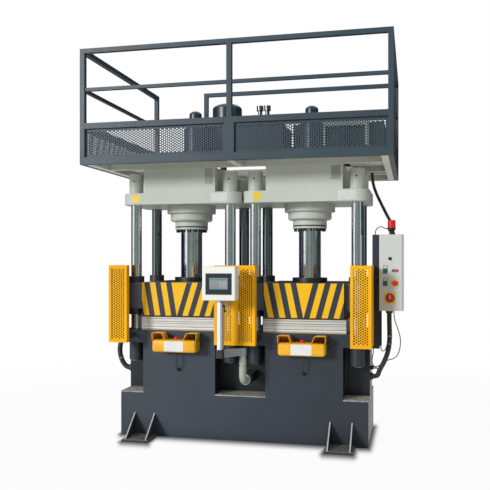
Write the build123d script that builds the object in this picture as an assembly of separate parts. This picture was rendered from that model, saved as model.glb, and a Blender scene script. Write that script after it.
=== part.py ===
from build123d import *
import os
from math import atan2, cos, degrees, hypot, radians, sin, tan

# Twin-station four-column hydraulic moulding press, in millimetres.
# X runs along the press, Y from the operator's side to the back, Z up from the floor.
# The origin is the centre of the base on the floor.

os.makedirs("parts", exist_ok=True)

# Fits
fit_gap = 0.3
running_gap = 0.1

# Welded base and table
base_end_margin = 106
base_depth = 800
plinth_height = 410
notch_wall = 330
pedestal_margin = 227
table_top = 981
table_thickness = 115
table_chamfer = 4

# Anchor feet
foot_inset = 236
foot_width = 246
foot_reach = 262
foot_thickness = 20
foot_hole_radius = 13
foot_hole_spacing = 110
foot_hole_reach = 190
gusset_spacing = 192
gusset_thickness = 12
gusset_height = 215
gusset_toe = 22

# Stations and columns
column_span_x = 920
column_span_y = 560
station_gap = 238
station_pitch = column_span_x + station_gap
column_radius = 50
column_end_radius = 44
column_chamfer = 4
daylight_top = 2150
lower_nut_radius = 66
lower_nut_height = 175
upper_nut_radius = 67
upper_nut_height = 187
nut_chamfer = 5
column_stand_out = 8

# Crowns
flange_height = 106
flange_margin = 108
crown_block_margin = 234
crown_block_height = 224

# Cylinders, in rings from the crown downwards
bore_radius = 125
barrel_radius = 200
ring_radii = (235, 202.5, 158)
ring_heights = (70, 75, 50)
ring_chamfer = 12
gland_radius = 158
gland_thickness = 25
gland_groove = 5
gland_groove_depth = 8
gland_spigot = 20
gland_screw_count = 16
gland_screw_radius = 10
gland_screw_height = 25
gland_screw_inset = 18

# Rams
stroke = 400
rod_radius = 102.5
piston_height = 50
piston_rest_gap = 5
ram_flange_radius = 162.5
ram_flange_height = 42

# Platens
moving_bottom = 1120
moving_height = 306
moving_margin = 208
moving_depth = 820
lug_radius = 70
lug_bottom_rise = 59
lug_top_drop = 5
bush_flange_radius = 73.5
bush_flange_height = 58
bush_sleeve_radius = 60
bush_sleeve_length = 90
hot_margin = 175
hot_depth = 740
lower_insulation_height = 14
lower_hot_height = 50
platen_gap = 1
upper_hot_height = 56
hot_groove_height = 4
hot_groove_depth = 3

# Perforated guards, folded from sheet
sheet = 2
guard_front = -603
guard_bottom = 884
guard_height = 701
side_guard_inset = 141
side_guard_width = 179
guard_return = 57
side_guard_wall = 380
centre_guard_half = 186
bracket_height = 40
bracket_thickness = 8
bracket_rise = 35

# Two-hand control stations
station_length = 450
station_depth = 150
station_bottom = 797
station_height = 114
station_corner = 18
hood_height = 77
hood_length_bottom = 128
hood_length_top = 104
hood_wall = 6
palm_radius = 20
palm_height = 14
palm_travel = 5
stop_radius = 20
stop_height = 18
stop_travel = 4
stem_radius = 9
stem_length = 16
seat_gap = 1
cap_rim_share = 0.35
cap_crown_share = 0.72
station_cable_radius = 5
cable_entry_z = 628

# Panel on its swivel arm
arm_pivot = (77, -610)
tube_axis = (-75, -790)
elbow_radius = 32
elbow_z = 575
elbow_flange_radius = 47
elbow_flange_thickness = 12
elbow_flange_y = -500
elbow_bend = 60
swivel_z = 704
swivel_collar_radius = 26
swivel_collar_height = 10
swivel_pin_radius = 16
swivel_pin_height = 60
arm_bracket_size = 80
arm_bottom = 803
arm_height = 62
arm_width = 46
arm_head_radius = 34
head_cuff = 40
head_top_radius = 25
corner_size = (62, 96)
corner_overlap = 4
tube_size = (45, 80)
tube_corner = 8
tube_top = 1270
tube_collar_radius = 44
tube_collar_rim = 5
panel_bottom = 1289
panel_size = (290, 130, 289)
panel_offset = (1.5, -7)
panel_corner = 10
display_size = (227, 179)
display_rise = 6
display_drop = 4
display_chamfer = 3
screen_size = (161, 97)
screen_recess = 1.5
screen_lift = 3
lever_z = 1243
lever_hub_radius = 9
lever_hub_length = 16
lever_length = 46
lever_section = (7, 9)
lever_knob_rise = 6

# Control box on its post
post_gap = 23
post_size = (64, 80)
post_corner = 5
post_front = -220
post_bottom = 845
post_top = 1858
post_block_inset = 8
post_block_margin = 14
post_weld = 6
trunking_size = (18, 40)
trunking_bottom = 872
box_width = 208
box_depth = 180
box_front = -300
box_bottom = 1187
box_top = 1856
box_corner = 22
left_controls = 52
right_controls = 134
lock_z = 1644
upper_controls_z = 1540
lower_controls_z = 1430
main_switch_z = 1300
button_travel = 4
bezel_thickness = 3
lamp_holder = (32, 58)
lamp_holder_rise = 13
lamp_button = (13, 8)
pair_bezel = (62, 32)
pair_pitch = 28
start_size = (12, 6)
off_size = (12, 9)
stop_ring_radius = 32
box_stop_size = (22, 20)
key_ring_radius = 15
key_radius = 11
key_height = 12
key_edge = 2
key_slot = (3, 14)
switch_plate = 95
switch_radius = 38
switch_height = 14
switch_edge = 6
switch_grip = (16, 62, 32)
beacon_offset = 104
beacon_foot_radius = 21
beacon_foot_height = 22
beacon_radius = 35
beacon_rim = 14
beacon_base_height = 62
beacon_lens_height = 67
lens_edge = 4

# Conduits and cables
box_conduit_radius = 22
crown_hose_radius = 14
left_conduit_radius = 25
thin_cable_radius = 4
gland_nut_length = 26
gland_wall = 10
gland_lip = 4
gland_taper = 8
hose_inset = 238
hose_offset = (6, 56)
conduit_offset = 84
conduit_entry_y = -115
conduit_entry_z = 583
left_entry_y = -125
left_entry_z = 588
post_cable_entry = (-62, 648)
loop_cable_entry = (-28, 656)

# Platform
platform_half = 1370
platform_front = -802
platform_rear = 1140
frame_height = 65
frame_bar = 45
deck_thickness = 8
beam_width = 60
walkway_rear = -330
middle_beam_front = 300
rear_deck_front = 490
side_deck_inner = 940
infill_height = 252
infill_rail = 52
rail_rise = 967
rail_height = 40
mid_rail_drop = 348
mid_rail_size = 30
access_left = -777

# Hydraulics on the platform
tank_x = (-520, 260)
tank_y = (300, 900)
tank_bottom_rise = 105
tank_height = 330
tank_leg = 60
reserve_tank_margin = 70
reserve_tank_y = (600, 1040)
reserve_tank_inset = 130
reserve_skid = (60, 40)
reserve_tank_top = 3020
lid_margin = 15
lid_thickness = 12
motor_at = (-337, 450)
motor_radius = 150
motor_top = 3232
motor_dome_height = 58
motor_lantern_radius = 105
motor_lantern_height = 60
prefill_y = 130
prefill_radius = 108
prefill_flange = 22
prefill_shoulder = 2926
prefill_cone_height = 60
prefill_cone_radius = 76
prefill_top = 3105
prefill_neck_radius = 62
prefill_cap_height = 40
valve_at = (55, 400)
valve_block = (150, 120, 80)
valve_stem_radius = 22
valve_cap_radius = 34
valve_cap_height = 50
valve_top = 3185
pipe_radius = 14
pipe_rise = 40
right_pipe_shift = -30
left_pipe_shift = -50
left_pipe_stand_off = 46
portal_x = (660, 1050)
portal_y = 520
portal_top = 3020
portal_bar = 40

# Places that follow from the sizes
station_xs = {"left": -station_pitch / 2, "right": station_pitch / 2}
signs = (-1, 1)
half_length = (station_pitch + column_span_x) / 2 + base_end_margin
half_depth = base_depth / 2
notch_depth = half_depth - notch_wall / 2
pedestal_width = column_span_x - pedestal_margin
crown_block_width = column_span_x - crown_block_margin
moving_width = column_span_x - moving_margin
hot_width = column_span_x - hot_margin
side_guard_inner = half_length - side_guard_inset
side_guard_outer = side_guard_inner + side_guard_width
table_bottom = table_top - table_thickness
crown_block_bottom = daylight_top + flange_height
crown_top = crown_block_bottom + crown_block_height
cylinder_foot = daylight_top - sum(ring_heights)
gland_bottom = cylinder_foot - gland_groove - gland_thickness
moving_top = moving_bottom + moving_height
lug_bottom = moving_bottom + lug_bottom_rise
lug_top = moving_top - lug_top_drop
lower_hot_bottom = table_top + lower_insulation_height
upper_hot_bottom = lower_hot_bottom + lower_hot_height + platen_gap
upper_hot_top = upper_hot_bottom + upper_hot_height
piston_bottom = cylinder_foot + gland_spigot + piston_rest_gap
bore_top = piston_bottom + piston_height + stroke + piston_rest_gap
frame_top = crown_top + frame_height
rail_top = frame_top + rail_rise
mid_rail_top = rail_top - mid_rail_drop
on_foot =(Align.CENTER, Align.CENTER, Align.MIN)


def slab(x, y, z):
    return Pos(x[0], y[0], z[0]) * Box(x[1] - x[0], y[1] - y[0], z[1] - z[0], align=(Align.MIN,) * 3)


def rod(at, z, radius):
    return Pos(at[0], at[1], z[0]) * Cylinder(radius, z[1] - z[0], align=on_foot)


def turned(points, at=(0, 0)):
    outline = Polyline(*[(radius, 0, z) for radius, z in points], close=True)
    return Pos(at[0], at[1], 0) * revolve(make_face(outline), Axis.Z)


def plate_of(outline, z):
    face = make_face(Polyline(*outline, close=True))
    return Pos(0, 0, z[0]) * extrude(face, z[1] - z[0])


def column_places(station_x):
    return [(station_x + i * column_span_x / 2, j * column_span_y / 2) for i in signs for j in signs]


all_columns = [place for x in station_xs.values() for place in column_places(x)]


def facing_front(solid, x, y, z):
    # A piece drawn along +Z is laid over so that it points at the operator.
    return Pos(x, y, z) * Rot(90, 0, 0) * solid


def bent_tube(points, radius):
    # Straight runs joined by tangent arcs, each as large as its two runs allow.
    places = [Vector(*point) for point in points]
    runs = [b - a for a, b in zip(places, places[1:])]
    radii = []
    for before, after in zip(runs, runs[1:]):
        turn = radians(before.get_angle(after))
        radii.append(0.45 * min(before.length, after.length) / tan(turn / 2))
    path = FilletPolyline(*places, radius=radii)
    section = Plane(origin=places[0], z_dir=runs[0]) * Circle(radius)
    tube = sweep(section, path=path)
    share = tube.volume / (section.area * path.length)
    print("tube", "radii", [round(r) for r in radii], "length", round(path.length), "fill", round(share, 4))
    return tube


def save(name, solids):
    shape = Compound(children=list(solids)) if isinstance(solids, (list, tuple)) else solids
    export_step(shape, f"parts/{name}.step")


def base_frame():
    pieces = [slab((-half_length, half_length), (-half_depth, half_depth), (0, plinth_height))]
    upright = (plinth_height, table_bottom)
    half = pedestal_width / 2
    for x in station_xs.values():
        pieces.append(slab((x - half, x + half), (-half_depth, half_depth), upright))
    wall = half_depth - notch_depth
    left, right = station_xs.values()
    for x in ((-half_length, left - half), (left + half, right - half), (right + half, half_length)):
        pieces.append(slab(x, (-wall, wall), upright))
    # Square tube out of the middle notch, which carries the panel's arm.
    bar = arm_bracket_size / 2
    across = (arm_pivot[0] - bar, arm_pivot[0] + bar)
    pieces.append(slab(across, (elbow_flange_y, -wall), (elbow_z - bar, elbow_z + bar)))
    return pieces


def anchor_feet():
    pieces = []
    for i in signs:
        for j in signs:
            x = i * (half_length - foot_inset)
            reach = sorted((j * half_depth, j * (half_depth + foot_reach)))
            plate = slab((x - foot_width / 2, x + foot_width / 2), reach, (0, foot_thickness))
            for k in signs:
                hole_at = (x + k * foot_hole_spacing / 2, j * (half_depth + foot_hole_reach))
                plate -= rod(hole_at, (0, foot_thickness), foot_hole_radius)
            pieces.append(plate)
            heel = half_depth
            toe = half_depth + foot_reach - gusset_toe
            side = [(0, j * heel, foot_thickness), (0, j * toe, foot_thickness)]
            side += [(0, j * heel, gusset_height)]
            for k in signs:
                middle = x + k * gusset_spacing / 2
                face = make_face(Polyline(*side, close=True))
                gusset = extrude(face, gusset_thickness / 2, dir=(1, 0, 0), both=True)
                pieces.append(Pos(middle, 0, 0) * gusset)
    return pieces


def table_plate():
    plate = slab((-half_length, half_length), (-half_depth, half_depth), (table_bottom, table_top))
    plate = chamfer(plate.faces().sort_by(Axis.Z)[-1].edges(), table_chamfer)
    for place in all_columns:
        plate -= rod(place, (table_bottom, table_top), column_end_radius + fit_gap)
    return plate


def column(place):
    low = table_bottom - lower_nut_height - column_stand_out
    high = crown_block_bottom + upper_nut_height + column_stand_out
    inner = column_end_radius - column_chamfer
    outline = [(0, low), (inner, low), (column_end_radius, low + column_chamfer)]
    outline += [(column_end_radius, table_top), (column_radius, table_top)]
    outline += [(column_radius, daylight_top), (column_end_radius, daylight_top)]
    outline += [(column_end_radius, high - column_chamfer), (inner, high), (0, high)]
    return turned(outline, place)


def nut(place, foot, height, radius):
    bore = column_end_radius + fit_gap
    rim = radius - nut_chamfer
    top = foot + height
    outline = [(bore, foot), (rim, foot), (radius, foot + nut_chamfer)]
    outline += [(radius, top - nut_chamfer), (rim, top), (bore, top)]
    return turned(outline, place)


def column_nuts():
    foot = table_bottom - lower_nut_height
    lower = [nut(p, foot, lower_nut_height, lower_nut_radius) for p in all_columns]
    upper = [nut(p, crown_block_bottom, upper_nut_height, upper_nut_radius) for p in all_columns]
    return lower + upper


def crown(station_x):
    # Flange plate, its corners round about the columns, and the block welded on it.
    half_x = column_span_x / 2 + flange_margin
    half_y = column_span_y / 2 + flange_margin
    flange = slab((-half_x, half_x), (-half_y, half_y), (daylight_top, crown_block_bottom))
    flange = Pos(station_x, 0, 0) * fillet(flange.edges().filter_by(Axis.Z), flange_margin)
    for place in column_places(station_x):
        flange -= rod(place, (daylight_top, crown_block_bottom), column_end_radius + fit_gap)
    half = crown_block_width / 2
    block = slab((-half, half), (-half_y, half_y), (crown_block_bottom, crown_top))
    bore = rod((station_x, 0), (daylight_top, crown_top), barrel_radius + fit_gap)
    return [flange - bore, Pos(station_x, 0, 0) * block - bore]


def cylinder(station_x):
    first, second, third = ring_radii
    first_foot = daylight_top - ring_heights[0]
    second_foot = first_foot - ring_heights[1]
    outline = [(bore_radius, cylinder_foot), (third, cylinder_foot), (third, second_foot)]
    outline += [(second - ring_chamfer, second_foot), (second, second_foot + ring_chamfer)]
    outline += [(second, first_foot), (first, first_foot), (first, daylight_top)]
    outline += [(barrel_radius, daylight_top), (barrel_radius, crown_top), (0, crown_top)]
    outline += [(0, bore_top), (bore_radius, bore_top)]
    return turned(outline, (station_x, 0))


def cylinder_gland(station_x):
    # Bolted ring with a spigot in the bore, its cap screws fused to it.
    inner = rod_radius + running_gap
    flange_top = gland_bottom + gland_thickness
    spigot = bore_radius - fit_gap
    neck = gland_radius - gland_groove_depth
    outline = [(inner, gland_bottom), (gland_radius, gland_bottom), (gland_radius, flange_top)]
    outline += [(neck, flange_top), (neck, cylinder_foot), (spigot, cylinder_foot)]
    outline += [(spigot, cylinder_foot + gland_spigot), (inner, cylinder_foot + gland_spigot)]
    ring = turned(outline, (station_x, 0))
    pitch = gland_radius - gland_screw_inset
    for k in range(gland_screw_count):
        turn = radians(360 * (k + 0.5) / gland_screw_count)
        at = (station_x + pitch * cos(turn), pitch * sin(turn))
        ring += rod(at, (gland_bottom - gland_screw_height, gland_bottom), gland_screw_radius)
    return ring


def ram(station_x):
    piston = bore_radius - running_gap
    piston_top = piston_bottom + piston_height
    flange_top = moving_top + ram_flange_height
    outline = [(0, moving_top), (ram_flange_radius, moving_top), (ram_flange_radius, flange_top)]
    outline += [(rod_radius, flange_top), (rod_radius, piston_bottom), (piston, piston_bottom)]
    outline += [(piston, piston_top), (0, piston_top)]
    return turned(outline, (station_x, 0))


def moving_platen(station_x):
    half_x = moving_width / 2
    half_y = moving_depth / 2
    body = slab((station_x - half_x, station_x + half_x), (-half_y, half_y), (moving_bottom, moving_top))
    for x, y in column_places(station_x):
        edge = station_x + half_x * (1 if x > station_x else -1)
        body += slab(sorted((edge, x)), (y - lug_radius, y + lug_radius), (lug_bottom, lug_top))
        body += rod((x, y), (lug_bottom, lug_top), lug_radius)
    for place in column_places(station_x):
        body -= rod(place, (lug_bottom, lug_top), bush_sleeve_radius + fit_gap)
    return body


def bushes(station_x):
    # Flanged guide bushes at both ends of each lug.
    inner = column_radius + running_gap
    pieces = []
    for place in column_places(station_x):
        for seat, way in ((lug_top, 1), (lug_bottom, -1)):
            outer = seat + way * bush_flange_height
            tail = seat - way * bush_sleeve_length
            outline = [(inner, outer), (bush_flange_radius, outer), (bush_flange_radius, seat)]
            outline += [(bush_sleeve_radius, seat), (bush_sleeve_radius, tail), (inner, tail)]
            pieces.append(turned(outline, place))
    return pieces


def hot_slab(station_x, low, high, grooves=()):
    half_x = hot_width / 2
    half_y = hot_depth / 2
    body = slab((station_x - half_x, station_x + half_x), (-half_y, half_y), (low, high))
    for share in grooves:
        middle = low + share * (high - low)
        ring = slab((-half_x, half_x), (-half_y, half_y), (0, hot_groove_height))
        inner_x = half_x - hot_groove_depth
        inner_y = half_y - hot_groove_depth
        ring -= slab((-inner_x, inner_x), (-inner_y, inner_y), (0, hot_groove_height))
        body -= Pos(station_x, 0, middle - hot_groove_height / 2) * ring
    return body


def side_guard(side):
    back = guard_front + side_guard_wall
    lip = guard_front + guard_return
    outline = [(side_guard_inner, lip), (side_guard_inner, guard_front)]
    outline += [(side_guard_outer, guard_front), (side_guard_outer, back)]
    outline += [(side_guard_outer - sheet, back), (side_guard_outer - sheet, guard_front + sheet)]
    outline += [(side_guard_inner + sheet, guard_front + sheet), (side_guard_inner + sheet, lip)]
    guard = plate_of(outline, (guard_bottom, guard_bottom + guard_height))
    return guard if side > 0 else mirror(guard, Plane.YZ)


def centre_guard():
    half = centre_guard_half
    lip = guard_front + guard_return
    outline = [(-half, lip), (-half, guard_front), (half, guard_front), (half, lip)]
    outline += [(half - sheet, lip), (half - sheet, guard_front + sheet)]
    outline += [(sheet - half, guard_front + sheet), (sheet - half, lip)]
    return plate_of(outline, (guard_bottom, guard_bottom + guard_height))


def guard_brackets():
    # Flat bars from the table's front edge, one behind each return.
    low = guard_bottom + bracket_rise
    pieces = []
    for face, way in ((side_guard_inner + sheet, 1), (centre_guard_half - sheet, -1)):
        for side in signs:
            x = sorted((side * face, side * (face + way * bracket_thickness)))
            y = (guard_front + sheet, -half_depth)
            pieces.append(slab(x, y, (low, low + bracket_height)))
    return pieces


def hand_station(station_x):
    half = station_length / 2
    back = -half_depth
    front = back - station_depth
    top = station_bottom + station_height
    hood_top = top + hood_height
    body = slab((-half, half), (front, back), (station_bottom, top))
    upright = body.edges().filter_by(Axis.Z).group_by(Axis.Y)[0]
    body = fillet(upright, station_corner)
    for side in signs:
        outside = [(half, top), (half, hood_top), (half - hood_length_top, hood_top)]
        outside += [(half - hood_length_bottom, top)]
        inside = [(half - hood_wall, top), (half - hood_wall, hood_top - hood_wall)]
        inside += [(half - hood_length_top + hood_wall, hood_top - hood_wall)]
        inside += [(half - hood_length_bottom + hood_wall, top)]
        shells = []
        for outline, room in ((outside, 0), (inside, hood_wall)):
            points = [(side * x, 0, z) for x, z in outline]
            face = make_face(Polyline(*points, close=True))
            depth = station_depth - station_corner - room
            shells.append(Pos(0, back - room, 0) * extrude(face, depth, dir=(0, -1, 0)))
        body += shells[0] - shells[1]
    for x in (palm_x(-1), 0, palm_x(1)):
        pocket = (top - stem_length - palm_travel - seat_gap, top)
        body -= rod((x, station_button_y()), pocket, stem_radius + fit_gap)
    return Pos(station_x, 0, 0) * body


def palm_x(side):
    return side * (station_length / 2 - (hood_length_bottom + hood_length_top) / 4)


def station_button_y():
    return -half_depth - station_depth / 2


def push_button(radius, height, travel):
    # Domed cap on a stem, drawn along +Z with its seat at Z = 0.
    low = travel + seat_gap
    top = low + height
    rim = cap_rim_share * height
    outline = [(0, -stem_length), (stem_radius, -stem_length), (stem_radius, low), (radius, low)]
    outline += [(radius, top - rim), (cap_crown_share * radius, top), (0, top)]
    return turned(outline)


def station_cable(station_x):
    x = station_x
    y = station_button_y()
    z = station_bottom
    gland_y = -half_depth - gland_nut_length
    points = [(x, y, z), (x, y, z - 42), (x, y + 3, z - 84), (x, y + 10, z - 122)]
    points += [(x, gland_y - 22, cable_entry_z + 16), (x, gland_y - 14, cable_entry_z)]
    points += [(x, gland_y, cable_entry_z)]
    return bent_tube(points, station_cable_radius)


def swivel_elbow():
    x, y = arm_pivot
    path = FilletPolyline((x, elbow_flange_y, elbow_z), (x, y, elbow_z), (x, y, swivel_z), radius=elbow_bend)
    section = Plane(origin=(x, elbow_flange_y, elbow_z), z_dir=(0, -1, 0)) * Circle(elbow_radius)
    body = sweep(section, path=path)
    flange = Cylinder(elbow_flange_radius, elbow_flange_thickness, align=on_foot)
    body += facing_front(flange, x, elbow_flange_y, elbow_z)
    collar_top = swivel_z + swivel_collar_height
    body += rod(arm_pivot, (swivel_z, collar_top), swivel_collar_radius)
    body += rod(arm_pivot, (collar_top, collar_top + swivel_pin_height), swivel_pin_radius)
    return body


def swivel_head():
    foot = swivel_z + swivel_collar_height + fit_gap
    bore_roof = foot + swivel_pin_height + seat_gap
    bore = swivel_pin_radius + running_gap
    outline = [(bore, foot), (elbow_radius, foot), (elbow_radius, foot + head_cuff)]
    outline += [(head_top_radius, arm_bottom), (0, arm_bottom), (0, bore_roof), (bore, bore_roof)]
    return turned(outline, arm_pivot)


def panel_arm():
    run_x = tube_axis[0] - arm_pivot[0]
    run_y = tube_axis[1] - arm_pivot[1]
    length = hypot(run_x, run_y)
    turn = degrees(atan2(run_y, run_x))
    bar = slab((0, length), (-arm_width / 2, arm_width / 2), (arm_bottom, arm_bottom + arm_height))
    body = Pos(*arm_pivot, 0) * Rot(0, 0, turn) * bar
    body += rod(arm_pivot, (arm_bottom, arm_bottom + arm_height), arm_head_radius)
    half_x, half_y = corner_size[0] / 2, corner_size[1] / 2
    reach_z = (arm_bottom - corner_overlap, arm_bottom + arm_height + corner_overlap)
    corner = slab((-half_x, half_x), (-half_y, half_y), reach_z)
    corner = fillet(corner.edges().filter_by(Axis.Z), tube_corner)
    return body + Pos(*tube_axis, 0) * corner


def panel_tube():
    half_x, half_y = tube_size[0] / 2, tube_size[1] / 2
    foot = arm_bottom + arm_height + corner_overlap
    body = slab((-half_x, half_x), (-half_y, half_y), (foot, tube_top))
    body = fillet(body.edges().filter_by(Axis.Z), tube_corner)
    seat = panel_bottom - fit_gap
    outline = [(0, tube_top), (half_x, tube_top), (tube_collar_radius, seat - tube_collar_rim)]
    outline += [(tube_collar_radius, seat), (0, seat)]
    return Pos(*tube_axis, 0) * (body + turned(outline))


def panel_box_limits():
    middle_x = tube_axis[0] + panel_offset[0]
    middle_y = tube_axis[1] + panel_offset[1]
    width, depth, height = panel_size
    x = (middle_x - width / 2, middle_x + width / 2)
    y = (middle_y - depth / 2, middle_y + depth / 2)
    return x, y, (panel_bottom, panel_bottom + height)


def panel_housing():
    body = slab(*panel_box_limits())
    return fillet(body.edges(), panel_corner)


def panel_display():
    x, y, z = panel_box_limits()
    middle_x = sum(x) / 2
    middle_z = sum(z) / 2 - display_drop
    front = y[0] - display_rise
    wide, tall = display_size[0] / 2, display_size[1] / 2
    across = (middle_x - wide, middle_x + wide)
    plate = slab(across, (front, y[0]), (middle_z - tall, middle_z + tall))
    plate = chamfer(plate.faces().sort_by(Axis.Y)[0].edges(), display_chamfer)
    wide, tall = screen_size[0] / 2, screen_size[1] / 2
    across = (middle_x - wide, middle_x + wide)
    upright = (middle_z + screen_lift - tall, middle_z + screen_lift + tall)
    return plate - slab(across, (front, front + screen_recess), upright)


def clamp_lever():
    # Clamping handle on the right of the tube; it is drawn along +Z and laid along +X.
    hub = rod((0, 0), (0, lever_hub_length), lever_hub_radius)
    thick, wide = lever_section
    low = lever_hub_length - thick
    arm = slab((-wide / 2, lever_length), (-wide / 2, wide / 2), (low, lever_hub_length))
    knob = rod((lever_length, 0), (low, lever_hub_length + lever_knob_rise), lever_hub_radius)
    handle = hub + arm + knob
    edge = tube_axis[0] + tube_size[0] / 2 + fit_gap
    return Pos(edge, tube_axis[1], lever_z) * Rot(0, 90, 0) * handle


post_x = (half_length + post_gap, half_length + post_gap + post_size[0])
box_x = (post_x[1], post_x[1] + box_width)
beacon_at = (box_x[0] + beacon_offset, box_front + box_depth / 2)


def box_post():
    y = (post_front, post_front + post_size[1])
    post = slab(post_x, y, (post_bottom, post_top))
    post = fillet(post.edges().filter_by(Axis.Z), post_corner)
    block_y = (y[0] + post_block_inset, y[1] - post_block_inset)
    block_z = (table_bottom + post_block_margin, table_top - post_block_margin)
    return post + slab((half_length, post_x[0] + post_weld), block_y, block_z)


def trunking():
    # Cable duct down the inner side of the post, from the box to near the post's foot.
    x = (post_x[1], post_x[1] + trunking_size[0])
    return slab(x, (post_front, post_front + trunking_size[1]), (trunking_bottom, box_bottom))


def control_box():
    body = slab(box_x, (box_front, box_front + box_depth), (box_bottom, box_top))
    body = fillet(body.edges().filter_by(Axis.Z).group_by(Axis.X)[-1], box_corner)
    depth = stem_length + button_travel + seat_gap
    hole = Pos(0, 0, -depth) * Cylinder(stem_radius + fit_gap, depth, align=on_foot)
    for x, z in control_places().values():
        body -= facing_front(hole, x, box_front, z)
    return body


def control_places():
    left = box_x[0] + left_controls
    right = box_x[0] + right_controls
    middle = (left + right) / 2
    places = {"key_switch": (middle, lock_z), "upper_green_button": (left, upper_controls_z)}
    places["lower_green_button"] = (left, lower_controls_z)
    places["start_button"] = (right - pair_pitch / 2, upper_controls_z)
    places["off_button"] = (right + pair_pitch / 2, upper_controls_z)
    places["box_stop_button"] = (right, lower_controls_z)
    places["main_switch"] = (middle, main_switch_z)
    return places


def control_bezels():
    # Fixed rings and plates on the box's front, each bored for its stem.
    places = control_places()
    thick = bezel_thickness
    bore = Cylinder(stem_radius + fit_gap, thick, align=on_foot)
    holder = Pos(0, lamp_holder_rise, 0) * Box(*lamp_holder, thick, align=on_foot) - bore
    pair = extrude(SlotOverall(*pair_bezel), thick)
    for way in signs:
        pair -= Pos(way * pair_pitch / 2, 0, 0) * bore
    plates = {"upper_green_button": holder, "lower_green_button": holder}
    plates["box_stop_button"] = Cylinder(stop_ring_radius, thick, align=on_foot) - bore
    plates["main_switch"] = Box(switch_plate, switch_plate, thick, align=on_foot) - bore
    plates["key_switch"] = Cylinder(key_ring_radius, thick, align=on_foot) - bore
    pieces = []
    for name, plate in plates.items():
        x, z = places[name]
        pieces.append(facing_front(plate, x, box_front, z))
    pieces.append(facing_front(pair, box_x[0] + right_controls, box_front, upper_controls_z))
    return pieces


def on_bezel(solid, name):
    x, z = control_places()[name]
    return facing_front(solid, x, box_front - bezel_thickness, z)


def box_button(name, size):
    return on_bezel(push_button(*size, button_travel), name)


def turned_switch(radius, height, edge):
    outline = [(0, -stem_length), (stem_radius, -stem_length), (stem_radius, fit_gap), (radius, fit_gap)]
    outline += [(radius, height - edge), (radius - edge, height), (0, height)]
    return turned(outline)


def key_switch():
    wide, long = key_slot[0] / 2, key_slot[1] / 2
    slot = slab((-wide, wide), (-long, long), (key_height - key_slot[0], key_height))
    return on_bezel(turned_switch(key_radius, key_height, key_edge) - slot, "key_switch")


def main_switch():
    wide, long = switch_grip[0] / 2, switch_grip[1] / 2
    grip = slab((-wide, wide), (-long, long), (switch_height - key_edge, switch_grip[2]))
    return on_bezel(turned_switch(switch_radius, switch_height, switch_edge) + grip, "main_switch")


def beacon():
    shoulder = box_top + beacon_base_height
    top = shoulder + beacon_lens_height
    base = [(0, box_top), (beacon_foot_radius, box_top), (beacon_foot_radius, box_top + beacon_foot_height)]
    base += [(beacon_radius, shoulder - beacon_rim), (beacon_radius, shoulder), (0, shoulder)]
    lens_radius = beacon_radius - seat_gap
    lens = [(0, shoulder), (lens_radius, shoulder), (lens_radius, top - lens_edge)]
    lens += [(lens_radius - lens_edge, top), (0, top)]
    return [turned(base, beacon_at), turned(lens, beacon_at)]


conduit_x = box_x[0] + conduit_offset
conduit_y = box_front + box_depth / 2
conduit_entry = (half_length, conduit_entry_y, conduit_entry_z)
left_entry = (-half_length, left_entry_y, left_entry_z)
left_exit = (-half_length, left_entry_y, table_bottom + table_thickness / 2)
hose_entry = (beacon_at[0] + hose_offset[0], beacon_at[1] + hose_offset[1], box_top)


def box_conduit():
    x = conduit_x
    y = conduit_y
    end_x = half_length + gland_nut_length
    end_y, end_z = conduit_entry[1:]
    z = box_bottom
    points = [(x, y, z - gland_nut_length), (x, y, z - 127), (x + 5, y, z - 247), (x - 7, y + 8, z - 359)]
    points += [(x - 46, y + 30, end_z + 139), (x - 92, y + 62, end_z + 57)]
    points += [(end_x + 40, end_y, end_z), (end_x, end_y, end_z)]
    return bent_tube(points, box_conduit_radius)


def crown_hose():
    x, y, z = hose_entry
    start = platform_half - hose_inset
    top = frame_top - deck_thickness
    points = [(start, 420, top), (start, 420, top - 87), (start + 14, 352, top - 177)]
    points += [(start + 52, 210, top - 281), (start + 104, 64, top - 387), (x - 56, y + 98, z + 190)]
    points += [(x - 8, y + 16, z + 106), (x, y, z + 60), (x, y, z + gland_nut_length)]
    return bent_tube(points, crown_hose_radius)


def left_conduit():
    out = -half_length - gland_nut_length
    y = left_entry[1]
    low, high = left_entry[2], left_exit[2]
    points = [(out, y, low), (out - 30, y, low), (out - 76, y, low + 52), (out - 102, y, low + 130)]
    points += [(out - 102, y, high - 128), (out - 76, y, high - 52), (out - 30, y, high), (out, y, high)]
    return bent_tube(points, left_conduit_radius)


def beacon_cable():
    x = (post_x[0] + post_x[1]) / 2 - 8
    y = post_front + post_size[1] / 2
    z = post_top
    end_x = beacon_at[0] - beacon_radius
    end_z = box_top + 55
    points = [(x, y, z), (x, y, z + 34), (x + 22, y - 8, z + 64), (x + 58, y - 20, z + 74)]
    points += [(end_x - 24, beacon_at[1], end_z), (end_x, beacon_at[1], end_z)]
    return bent_tube(points, thin_cable_radius)


def loop_cable():
    # From the box in a wide loop, behind the conduit and into the base.
    x = conduit_x + 40
    y = conduit_y
    end_x = half_length + gland_nut_length
    end_y, end_z = loop_cable_entry
    z = box_bottom
    points = [(x, y, z), (x, y, z - 67), (x + 26, y, z - 142), (x + 54, y, z - 222)]
    points += [(x + 58, y + 2, z - 305), (x + 40, y + 10, z - 385), (x + 2, y + 30, z - 431)]
    points += [(x - 44, y + 60, end_z + 86), (x - 88, y + 98, end_z + 60), (x - 126, y + 146, end_z + 24)]
    points += [(end_x + 29, end_y, end_z), (end_x, end_y, end_z)]
    return bent_tube(points, thin_cable_radius)


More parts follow.
